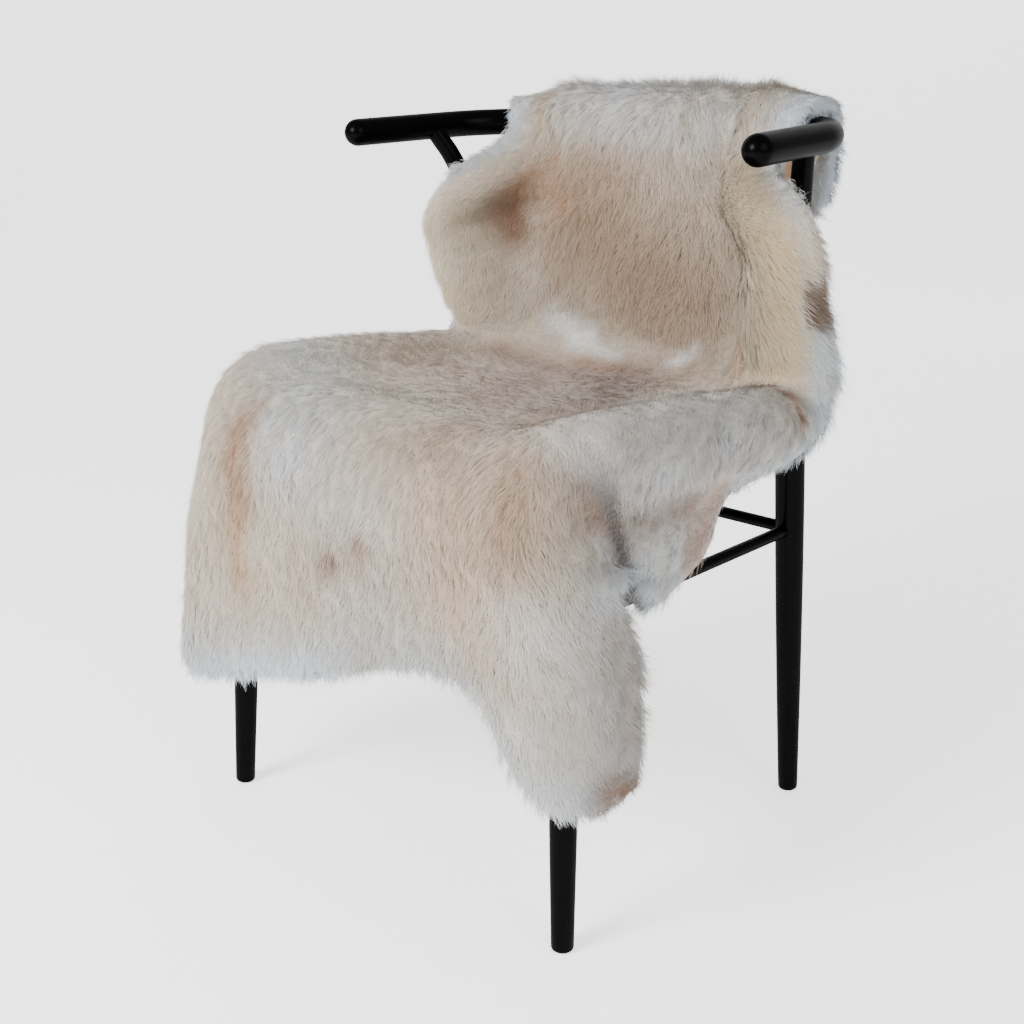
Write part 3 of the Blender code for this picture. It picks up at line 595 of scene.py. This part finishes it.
# The wool's colours: ivory, beige where it is pressed, tan and brown where it is stained, and a painted cool
# rim light at the edge. Some tones are painted shade: dark in the slit, under the roll, on the flap's right
# side, in the lobe's fold and on the seat beside the roll. Some are painted light: pale on the rail's crown,
# on the roll and behind it. A tone lies on a line between two places, given as mm along the skin from the
# back hem and mm across it from its middle, and fades out over its width. Later tones lie over earlier ones.
Tone = namedtuple("Tone", "name start end width colour strength")
IVORY = "ada497"
# a cool white painted round the wool's edge as rim light
PAINTED_RIM_LIGHT = "b0bdcb"
PAINTED_RIM_WIDTH = 38  # mm over which it fades
TONES = [Tone(*row) for row in (
    ("cream shoulders", (262, -262), (330, -240), 44, "d0c1a4", 0.65),
    ("beige back", (225, -70), (320, 70), 105, "84654a", 0.8),
    # painted cool light where the wool tops the rail and faces up
    ("cool white crown", (122, -170), (140, 170), 24, "bcc0c5", 0.8),
    ("brown hollow", (208, -194), (262, -166), 19, "663d1d", 0.85),
    ("tan above hollow", (190, -170), (215, -120), 24, "936844", 0.55),
    ("tan crease", (165, 178), (400, 196), 10, "c0a07c", 0.55),
    ("cream lobe", (250, 262), (400, 252), 32, "cdb78c", 0.7),
    ("tan line", (452, 222), (482, 256), 10, "804609", 0.85),
    ("white tufts", (366, -98), (380, -40), 19, "d0d5da", 0.9),
    ("cream between tufts", (384, 0), (398, 84), 15, "bdb6aa", 0.6),
    ("lower white tufts", (390, -60), (402, 5), 12, "d0d5da", 0.8),
    ("white wisp", (372, 112), (404, 84), 9, "d0d5da", 0.75),
    ("tan under tufts", (428, -30), (446, 70), 14, "8b5e43", 0.7),
    ("left seat grey", (560, -150), (520, -50), 56, "9a8572", 0.7),
    ("brown seat back", (436, -150), (466, 40), 24, "6b482e", 0.75),
    # the next two are painted soft brownish shade on the seat, along the valley beside the side roll
    ("sat-on brown", (466, 44), (600, 96), 54, "563419", 0.92),
    ("sat-on brown forward", (600, 100), (765, 98), 30, "806044", 0.6),
    ("brown seat left", (500, -40), (640, 20), 48, "775037", 0.8),
    ("white left seat", (690, -190), (790, -60), 42, "bdc6cf", 0.8),
    ("white front", (790, -80), (850, 20), 36, "acb2b9", 0.5),
    ("cool grey front", (850, 50), (1000, 70), 75, "9b9a97", 0.5),
    ("orange corner", (800, -136), (858, -120), 22, "89623f", 0.85),
    ("tan below corner", (880, -138), (930, -120), 22, "9f7751", 0.65),
    ("first spot", (900, 0), (908, 6), 14, "67402c", 0.88),
    ("second spot", (882, 42), (892, 46), 14, "785240", 0.8),
    ("beige front", (830, 150), (930, 170), 50, "a7856c", 0.5),
    ("tan front right", (790, 203), (850, 214), 17, "86684c", 0.75),
    ("tan brow", (776, 236), (784, 252), 16, "6d492a", 0.8),
    # painted deep shadow in the slit between the leg flap and the side flap
    ("slit", (765, 242), (770, 300), 16, "2a170d", 0.98),
    ("brown tip", (1026, 274), (1034, 296), 21, "5a3819", 1.0),
    ("cream upper lobe", (200, 252), (240, 285), 30, "b8a680", 0.7),
    # painted shade on the leg flap's right side, which turns away from the key light
    ("grey flap edge", (880, 294), (990, 300), 22, "867d74", 0.85),
    # darker wool with painted deep shade between the lobe's folds
    ("dark lobe fold", (268, 300), (306, 300), 11, "4a2c14", 0.95),
    # the next two are painted shadow under the side roll
    ("under the roll", (575, 258), (655, 272), 9, "5e4331", 0.9),
    ("under the roll's front", (655, 272), (735, 261), 8, "5e4331", 0.9),
    ("beige flap", (590, 285), (665, 297), 18, "9c7c64", 0.8),
    ("fringe of the roll", (585, 243), (735, 243), 9, "cfd6de", 0.85),
    # painted light over the shade in the valley between the seat and the roll
    ("pale behind the roll", (540, 208), (735, 192), 15, "cfcac4", 0.7),
    # painted light over the darker shade of the hair on the rail's far side
    ("pale rail crown", (104, -200), (104, 200), 20, "c2c8cf", 0.85),
    ("white flap tuft", (708, 280), (714, 300), 13, "a4acb0", 0.9),
    ("white corner", (735, 216), (760, 218), 22, "ccd3da", 0.75),
    ("white leg", (880, 240), (1034, 225), 36, "c4c8ca", 0.6),
    ("grey arch", (1015, 20), (1034, 150), 26, "9a9c9c", 0.6),
    # painted cool light on the side roll, as a fill light from the right would give
    ("pale roll", (540, 236), (700, 218), 34, "b5b8bb", 0.8),
)]
MOTTLES = ((62, 0.9), (19, 0.7))  # size in mm of the natural stains in the wool, and their share
TUFT_SIZE = (10, 27)  # mm along the skin and across it
TUFT_SHARES = (1.0, 0.3)  # how far they stand out at the back, and below the crease
TUFT_STAIN = 0.8
BROWNING = (0.12, 0.17, 0.23)  # how much red, green and blue the brownest wool loses

fine_places = np.stack(np.meshgrid(fine_along, fine_across, indexing="ij"), axis=2)
tone = np.tile(np.array(linear(IVORY)[:3]), (fine_rows, fine_columns, 1))
from_ends = np.minimum(fine_places[..., 0], fine_along[-1] - fine_places[..., 0])
from_edge = np.minimum(from_ends, ACROSS_KNOTS[-1] - abs(fine_places[..., 1]))
# painted cool rim light, fading inwards from the edge
near = np.exp(-((from_edge / PAINTED_RIM_WIDTH) ** 2))[..., None]
tone = tone * (1 - near) + np.array(linear(PAINTED_RIM_LIGHT)[:3]) * near
for t in TONES:
    near = nearness(fine_places, t)[..., None] * t.strength
    tone = tone * (1 - near) + np.array(linear(t.colour)[:3]) * near
tufts = [
    [noise.noise(Vector((a / TUFT_SIZE[0], b / TUFT_SIZE[1], 0.0))) for a, b in row]
    for row in np.stack(np.meshgrid(np.cumsum(np.gradient(fine_along)), fine_across, indexing="ij"), axis=2)
]


def past(name, over):
    """How far each row of the skin lies past a section, from 0 to 1, changing over so many mm."""
    return 1 / (1 + np.exp((along_of[name] - fine_along) / over))


tuft_share = TUFT_SHARES[0] + (TUFT_SHARES[1] - TUFT_SHARES[0]) * past("crease", 15)
tufts = np.array(tufts)[..., None] * tuft_share[:, None, None]
stain = tufts * TUFT_STAIN
for size, share in MOTTLES:
    stain = stain + share * noise_on(fine_under, size)[..., None]
tone *= 1 - stain * np.array(BROWNING)

# The wool's body: the dense underwool that grows from the pelt, in which single hairs don't show, up to about
# five sixths of the pile. It is drawn into soft tufts, longer across the skin than along it.
BODY_SHARE = 0.84
BODY_OFF = 0.2  # mm that it stands off the pelt
BODY_EVENED = 10  # how often its top is evened out
ROOT_TINT = "e8dccf"  # wool is browner near the skin
UNDERWOOL_MM = 3.5
UNDERWOOL_SHADE = 0.86
TUFT_DEPTH = 1.6


def painted(tree, name):
    """What is kept under a name for each point of the piece that is being shaded."""
    return add(tree, "ShaderNodeAttribute", {"attribute_name": name}).outputs


# Underwool: crimped and matt, so that it looks deep between the locks
underwool, tree, shader = new_material("dense sheep's underwool")
deep = grain(tree, UNDERWOOL_MM, Detail=4.0)
shade = add(tree, "ShaderNodeMapRange", Value=deep, To_Min=UNDERWOOL_SHADE, To_Max=1.0)
deeper = mixed(tree, 1.0, painted(tree, "wool_tone")["Color"], linear(ROOT_TINT), "MULTIPLY")
dark = mixed(tree, 1.0, deeper, shade, "MULTIPLY")
crimp = add(tree, "ShaderNodeBump", Height=deep, Strength=0.9, Distance=0.003)
feed(shader, Base_Color=dark, Normal=crimp)
feed(shader, Roughness=0.95, Sheen_Weight=0.25, Sheen_Roughness=0.6)

body_low = fine_under + fine_normal * (PELT_THICKNESS * 1000 + BODY_OFF)


def evened(values, often):
    """Values on the skin's grid, evened out with their neighbours so many times, but not at its edge."""
    values = values.copy()
    for _ in range(often):
        values[1:-1] = values[1:-1] / 2 + (values[:-2] + values[2:]) / 4
        values[:, 1:-1] = values[:, 1:-1] / 2 + (values[:, :-2] + values[:, 2:]) / 4
    return values


smooth_top = evened(body_low + fine_tips * BODY_SHARE, BODY_EVENED)
body_top = smooth_top + fine_normal * TUFT_DEPTH * tufts
edge_low = body_low[fine_edge]
edge_tips = fine_tips[fine_edge] * BODY_SHARE
reach = np.linalg.norm(fine_tips[fine_edge], axis=1, keepdims=True) * RIM_REACH * BODY_SHARE
rings = [edge_low + fine_out * reach * share + edge_tips * lift for share, lift in RIM]
around = len(edge_points)
loops = [edge_points]
loops += [2 * count + r * around + np.arange(around) for r in range(len(RIM))]
loops.append(edge_points + count)
body_faces = [grid_faces(fine_rows, fine_columns), grid_faces(fine_rows, fine_columns, count, flip=True)]
body_faces = np.concatenate(body_faces + [ring_faces(low, high) for low, high in zip(loops, loops[1:])])
body_points = metres(np.concatenate([body_low.reshape(-1, 3), body_top.reshape(-1, 3), *rings]))
wool_body = mesh_object("wool_body", body_points, body_faces.tolist(), underwool)

# How the wool lies: down the pelt from neck to tail, outwards near its edges, and drawn down by its own
# weight. It wanders from side to side, lock by lock.
OUTWARD_FROM = 80  # mm from the middle at which the wool starts to lie outwards
OUTWARD = (1.5, 0.45)  # how far it does, down to the front edge and below that
WEIGHT_DRAW = 0.6
LIE_EVENED = 8  # how often the wool's way is evened out
EVENNESS = 0.9  # how far hair takes its shade from the surface that it lies on
WANDER = ((80, 0.7), (24, 0.44))  # size in mm of the wandering, and its turn in radians
COMBED_RISE = 0.05  # radians by which combed wool lifts off the body
SHORTEST, LONGEST = 0.5, 1.15  # shares of a hair's length, by how deep the pile is

down_skin = unit(np.gradient(fine_under, axis=0))
over_skin = unit(np.gradient(fine_under, axis=1))
to_edge = np.clip((np.abs(fine_across) - OUTWARD_FROM) / (ACROSS_KNOTS[-1] - OUTWARD_FROM), 0, 1)
pull = OUTWARD[0] + (OUTWARD[1] - OUTWARD[0]) * past("front edge", 20)
lie = down_skin + over_skin * (np.sign(fine_across) * to_edge)[None, :, None] * pull[:, None, None]
gravity = np.array((0, 0, -1.0))
lie += WEIGHT_DRAW * (gravity + fine_normal * fine_normal[..., 2:])
lie = evened(lie, LIE_EVENED)
lie = unit(lie - fine_normal * np.sum(lie * fine_normal, axis=2, keepdims=True))
wander = sum(turn * noise_on(body_top, size) for size, turn in WANDER)[..., None]
lie = lie * np.cos(wander) + np.cross(fine_normal, lie) * np.sin(wander)

# Where the wool lies flatter or stands up, by radians, and where it is shorter or longer, by a share
Comb = namedtuple("Comb", "name start end width rise length")
COMBS = [
    Comb("sat-on middle", ("seat back", -60), ("seat front", 60), 110, -0.1, 0.6),
    Comb("seat crease", ("crease", -230), ("crease", 230), 40, 0.05, 0.75),
    Comb("side roll", ("seat front", 240), ("seat back", 250), 34, 0.0, 1.15),
    Comb("front right", ("front upper", 240), ("front lower", 250), 60, 0.05, 1.2),
    Comb("left pinch", ("front edge", -262), ("front edge", -236), 18, -0.1, 0.5),
    Comb("left panel corner", ("front upper", -270), ("front upper", -300), 25, 0.15, 1.25),
    Comb("slit", (768, 300), (766, 244), 20, -0.05, 0.2),
    Comb("fringe of the roll", (585, 245), (740, 245), 10, 0.15, 1.3),
    Comb("under the roll", (580, 266), (730, 270), 12, -0.05, 0.4),
    Comb("flap", (600, 290), (660, 296), 20, 0.0, 0.55),
    Comb("crown", ("over rail", -190), ("over rail", 190), 26, 0.32, 1.25),
    Comb("brown tip", (1010, 270), (1034, 296), 28, -0.05, 0.6),
    Comb("left seat", (540, -190), (700, -150), 90, 0.0, 0.75),
    Comb("crease", ("rail front", 178), ("lower back", 190), 16, 0.05, 1.0),
]
rise = np.full((fine_rows, fine_columns), COMBED_RISE)
length = np.clip(np.linalg.norm(fine_tips, axis=2) / PILE, SHORTEST, LONGEST)
for comb in COMBS:
    near = nearness(fine_places, comb)
    rise += near * comb.rise
    length *= 1 + near * (comb.length - 1)

# Round the rim the wool hangs down and outwards, stands up more and is longer, as a fringe is
RIM_FACING = ((0.8, -0.6), (0.95, -0.3), (0.95, 0.3), (0.6, 0.8))  # shares of outwards and of the pile's way
RIM_RISE, RIM_LENGTH = 0.2, 1.15
RIM_DOWN, RIM_OUT, RIM_UNDER, RIM_ALONG = 0.6, 0.65, 0.5, 0.6  # how far it lies each way
hang = gravity * RIM_DOWN + fine_out * RIM_OUT
under_rim = [fine_normal[fine_edge] * (1 - lift) * RIM_UNDER for _, lift in RIM]
ring_lies = [unit(hang - below + lie[fine_edge] * RIM_ALONG) for below in under_rim]
ring_normals = [unit(fine_out * a + fine_normal[fine_edge] * b) for a, b in RIM_FACING]
soft_top = (smooth_top + body_top) / 2
facing = unit(np.cross(np.gradient(soft_top, axis=0), np.gradient(soft_top, axis=1)))


def spread(on_grid, on_rings):
    """Values for every point of the wool's body: its underside, its top and the rings of its rim."""
    flat = on_grid.reshape(count, -1)
    return np.concatenate([flat, flat, *[r.reshape(around, -1) for r in on_rings]])


ATTRIBUTE_KINDS = {1: ("FLOAT", "value"), 3: ("FLOAT_VECTOR", "vector"), 4: ("FLOAT_COLOR", "color")}


def store(mesh, name, values):
    """Keeps a number, a direction or a colour for each point of a mesh."""
    kind, key = ATTRIBUTE_KINDS[values.shape[1]]
    flat = np.ascontiguousarray(values, dtype=float).reshape(-1)
    mesh.attributes.new(name, kind, "POINT").data.foreach_set(key, flat)


painted_tone = np.concatenate([tone, np.ones((fine_rows, fine_columns, 1))], axis=2)
on_body = {
    "wool_tone": spread(painted_tone, [painted_tone[fine_edge]] * len(RIM)),
    "lie": spread(lie, ring_lies),
    "facing": spread(facing, ring_normals),
    "evenness": spread(np.full_like(rise, EVENNESS), [np.full(around, EVENNESS / 2)] * len(RIM)),
    "rise": spread(rise, [np.full(around, RIM_RISE)] * len(RIM)),
    "length": spread(length, [length[fine_edge] * RIM_LENGTH] * len(RIM)),
}
store(wool_body.data, "wool_tone", on_body["wool_tone"])

# The locks: the pile's silky outer hair, about 20 mm long with pale tips, clings together in small locks.
# Each is a few tapered ribbons that rise from near one root and bend over. A node tree sets them all over the
# wool's body and turns them the way that the wool lies there.
HAIR_LENGTH = 0.020
HAIR_WIDTH = 0.00052  # far wider than a hair, so that it shows
HAIR_STEPS = 2
HAIRS_IN_LOCK = 12
LOCK_SHAPES = 8
ROOT_SPREAD, ROOT_DEPTH = 0.006, 0.002
ROOT_ANGLE, TIP_ANGLE = math.radians(33), math.radians(-7)
STRAY_SHARE = 0.06  # share of hairs that stand up across their lock
STRAY_LENGTH, STRAY_DRIFT, STRAY_LIFT = 1.15, 0.005, 0.35
CLINGING = 0.25  # how far a tip moves back to the middle of its lock
CURL, ROLL = 0.0014, 0.36
TIP_CREAM, TIP_SHARE = "c6bca8", 0.18


def times(tree, one, other):
    """Two numbers multiplied."""
    return add(tree, "ShaderNodeMath", {"operation": "MULTIPLY"}, i0=one, i1=other)


# Silky sheep's wool: fine smooth hair that shines softly, and looks even where it lies close
silk, tree, shader = new_material("silky sheep's wool hair")
up_hair = painted(tree, "up_hair")["Fac"]
brighter = mixed(tree, up_hair, linear(ROOT_TINT), linear("ffffff"))
of_lock = mixed(tree, 1.0, brighter, painted(tree, "lock_shade")["Fac"], "MULTIPLY")
hair_colour = mixed(tree, 1.0, painted(tree, "wool_tone")["Color"], of_lock, "MULTIPLY")
tipped = mixed(tree, times(tree, up_hair, TIP_SHARE), hair_colour, linear(TIP_CREAM))

# Hair that faces nearly as the wool does takes its shade from the wool's surface, so that it looks silky
own = add(tree, "ShaderNodeNewGeometry").outputs["Normal"]
of_wool = painted(tree, "facing")["Vector"]
alike = add(tree, "ShaderNodeVectorMath", {"operation": "DOT_PRODUCT"}, i0=own, i1=of_wool)
even_share = add(
    tree, "ShaderNodeMapRange",
    Value=alike.outputs["Value"], From_Min=0.0, From_Max=0.25,
    To_Min=0.0, To_Max=painted(tree, "evenness")["Fac"],
)
soft = add(tree, "ShaderNodeMix", {"data_type": "VECTOR"}, i0=even_share, i4=own, i5=of_wool)
even = add(tree, "ShaderNodeVectorMath", {"operation": "NORMALIZE"}, i0=soft.outputs[1])
feed(shader, Base_Color=tipped, Normal=even)
feed(shader, Roughness=0.6, Specular_IOR_Level=0.25, Sheen_Weight=0.08, Sheen_Roughness=0.45)

chance = np.random.default_rng(7)
lock_shapes = bpy.data.collections.new("lock shapes")


def lock_shape(name):
    """One lock, its roots round the origin, rising along +Z and bending over towards +X."""
    points, faces, up = [], [], []
    for _ in range(HAIRS_IN_LOCK):
        at = np.array([*chance.normal(0, ROOT_SPREAD / 2, 2), -ROOT_DEPTH])
        stray = chance.random() < STRAY_SHARE
        size = HAIR_LENGTH * chance.uniform(0.7, 1.1) * (STRAY_LENGTH if stray else 1)
        drift = chance.normal(0, STRAY_DRIFT) if stray else -at[1] * CLINGING
        curl = chance.normal(0, CURL)
        roll = chance.normal(0, ROLL)
        across = np.array([0, math.cos(roll), math.sin(roll)]) * HAIR_WIDTH / 2
        first = len(points)
        for k in range(HAIR_STEPS + 1):
            u = k / HAIR_STEPS
            if k:
                angle = ROOT_ANGLE + (TIP_ANGLE - ROOT_ANGLE) * (u - 0.5 / HAIR_STEPS)
                angle += STRAY_LIFT if stray else 0
                at = at + np.array([math.cos(angle), 0, math.sin(angle)]) * size / HAIR_STEPS
            side = np.array([0, drift * u**1.5 + curl * math.sin(u * 4), 0])
            if k == HAIR_STEPS:
                points.append(at + side)
            else:
                points += [at + side - across * (1 - u / 2), at + side + across * (1 - u / 2)]
            up += [u] * (1 if k == HAIR_STEPS else 2)
        for k in range(HAIR_STEPS - 1):
            a = first + 2 * k
            faces.append((a, a + 1, a + 3, a + 2))
        a = first + 2 * (HAIR_STEPS - 1)
        faces.append((a, a + 1, a + 2))
    mesh = bpy.data.meshes.new(name)
    mesh.from_pydata(points, [], faces)
    mesh.shade_smooth()
    store(mesh, "up_hair", np.array(up)[:, None])
    lock_shapes.objects.link(bpy.data.objects.new(name, mesh))
    return sum(len(f) - 2 for f in faces)


lock_triangles = max(lock_shape(f"lock_{k}") for k in range(LOCK_SHAPES))

locks, given = new_tree(
    "locks set on the wool",
    Skin="Geometry", Lock_shapes="Collection", Locks_to_the_square_metre="Float",
    Yaw="Float", Seed="Int", Hair="Material",
)
roots = add(
    locks, "GeometryNodeDistributePointsOnFaces",
    Mesh=given["Skin"], Density=given["Locks to the square metre"], Seed=given["Seed"],
)
upright = add(
    locks, "FunctionNodeAlignRotationToVector", {"axis": "Z"},
    Factor=1.0, Vector=roots.outputs["Normal"],
)
laid = add(
    locks, "FunctionNodeAlignRotationToVector", {"axis": "X", "pivot_axis": "Z"},
    Rotation=upright, Factor=1.0, Vector=stored(locks, "lie", "FLOAT_VECTOR"),
)


def between(low, high, seed):
    """A number for each lock, chosen evenly between two."""
    number = add(locks, "FunctionNodeRandomValue", {"data_type": "FLOAT"}, Min=low, Max=high, Seed=seed)
    return number.outputs[1]


yaw = between(times(locks, given["Yaw"], -1.0), given["Yaw"], given["Seed"])
pitch = between(-0.1, 0.1, 21)
lifted = add(locks, "ShaderNodeMath", {"operation": "ADD"}, i0=pitch, i1=stored(locks, "rise"))
turn = add(locks, "ShaderNodeCombineXYZ", X=0.0, Y=times(locks, lifted, -1.0), Z=yaw)
turned = add(locks, "FunctionNodeEulerToRotation", Euler=turn)
set_turn = add(
    locks, "FunctionNodeRotateRotation", {"rotation_space": "LOCAL"},
    Rotation=laid, Rotate_By=turned,
)
size = times(locks, between(0.8, 1.15, 22), stored(locks, "length"))
scale = add(locks, "ShaderNodeCombineXYZ", X=size, Y=1.0, Z=size)
shapes = add(locks, "GeometryNodeCollectionInfo", Collection=given["Lock shapes"], Separate_Children=True)
standing = add(
    locks, "GeometryNodeInstanceOnPoints",
    Points=roots, Instance=shapes, Pick_Instance=True, Rotation=set_turn, Scale=scale,
)
shaded = add(
    locks, "GeometryNodeStoreNamedAttribute", {"data_type": "FLOAT", "domain": "INSTANCE"},
    Geometry=standing, Name="lock_shade", Value=between(0.97, 1.03, 23),
)
realized = add(locks, "GeometryNodeRealizeInstances", Geometry=shaded)
finished = add(locks, "GeometryNodeSetMaterial", Geometry=realized, Material=given["Hair"])
add(locks, "NodeGroupOutput", Made=finished)

# The stretches: the hair of the neck, the back, the seat and the front, a piece each. Each grows from the
# wool's body there, and on the skin nothing parts them.
Stretch = namedtuple("Stretch", "name start end")
STRETCHES = [
    Stretch("neck_wool", "back hem", "shoulder"),
    Stretch("back_wool", "shoulder", "crease"),
    Stretch("seat_wool", "crease", "front edge"),
    Stretch("front_wool", "front edge", "front hem"),
]
MOST_TRIANGLES = 188000  # in each stretch
YAW = 0.16  # radians by which a lock may turn aside

body_along = spread(fine_places[..., 0], [fine_places[..., 0][fine_edge]] * len(RIM))[:, 0]
hairy = body_faces[(fine_rows - 1) * (fine_columns - 1) :]  # all but the underside
hairy_along = body_along[hairy].mean(axis=1)
wool_pieces = []
for stretch in STRETCHES:
    low, high = along_of[stretch.start], along_of[stretch.end]
    chosen = hairy[(hairy_along >= low) & ((hairy_along < high) | (stretch.end == "front hem"))]
    used, renamed = np.unique(chosen, return_inverse=True)
    patch = mesh_object(stretch.name, body_points[used], renamed.reshape(chosen.shape).tolist(), silk)
    for name, values in on_body.items():
        store(patch.data, name, values[used])
    area = sum(p.area for p in patch.data.polygons)
    density = MOST_TRIANGLES / lock_triangles / area
    item = grown(patch, locks, {
        "Lock shapes": lock_shapes, "Locks to the square metre": density, "Yaw": YAW,
        "Seed": len(wool_pieces) + 3, "Hair": silk,
    })
    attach(item, "root")
    wool_pieces.append(item)

outward(wool_body.data)
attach(wool_body, "root")
strips = [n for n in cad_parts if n.endswith("_locks")]
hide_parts("sheepskin", *strips)

# The studio: a pale seamless paper sweep, lit through from behind, under broad soft lights. The key stands
# straight ahead of the chair, so that its shadows fall behind it.
paper, _, shader = new_material("pale seamless paper")
feed(shader, Base_Color=linear("f8f8f8"), Roughness=0.9)
feed(shader, Emission_Color=linear("fafafa"), Emission_Strength=1.3)
FLOOR_BACK, SWEEP_RADIUS, SWEEP_TOP, SWEEP_HALF = 3.2, 1.5, 5.0, 6.0  # metres
profile = [(-3.0, 0.0), (FLOOR_BACK, 0.0)]
for angle in np.linspace(0.1, math.pi / 2, 12):
    profile.append((FLOOR_BACK + SWEEP_RADIUS * math.sin(angle), SWEEP_RADIUS * (1 - math.cos(angle))))
profile.append((FLOOR_BACK + SWEEP_RADIUS, SWEEP_TOP))
sweep_points = [(x, y, z) for y, z in profile for x in (-SWEEP_HALF, SWEEP_HALF)]
sweep_faces = [(2 * k, 2 * k + 1, 2 * k + 3, 2 * k + 2) for k in range(len(profile) - 1)]
backdrop = mesh_object("paper_sweep", sweep_points, sweep_faces, paper)
backdrop.rotation_euler = (0, 0, VIEW_TURN)


def soft_light(name, place, aim, size, power):
    """A round soft light of a size in metres and a power in watts, aimed at a point."""
    light = bpy.data.lights.new(name, "AREA")
    light.shape = "DISK"
    light.size = size
    light.energy = power
    item = placed(name, light)
    item.location = place
    item.rotation_euler = (Vector(aim) - Vector(place)).to_track_quat("-Z", "Y").to_euler()


soft_light("key", (-0.4, -2.9, 1.9), (0, 0, 0.4), 1.5, 195)
soft_light("fill", (2.6, -0.6, 1.8), (0, 0, 0.4), 2.0, 36)
world = bpy.data.worlds.new("studio")
bpy.context.scene.world = world
world.use_nodes = True
feed(world.node_tree.nodes["Background"], Color=linear("f4f5f7"), Strength=0.88)
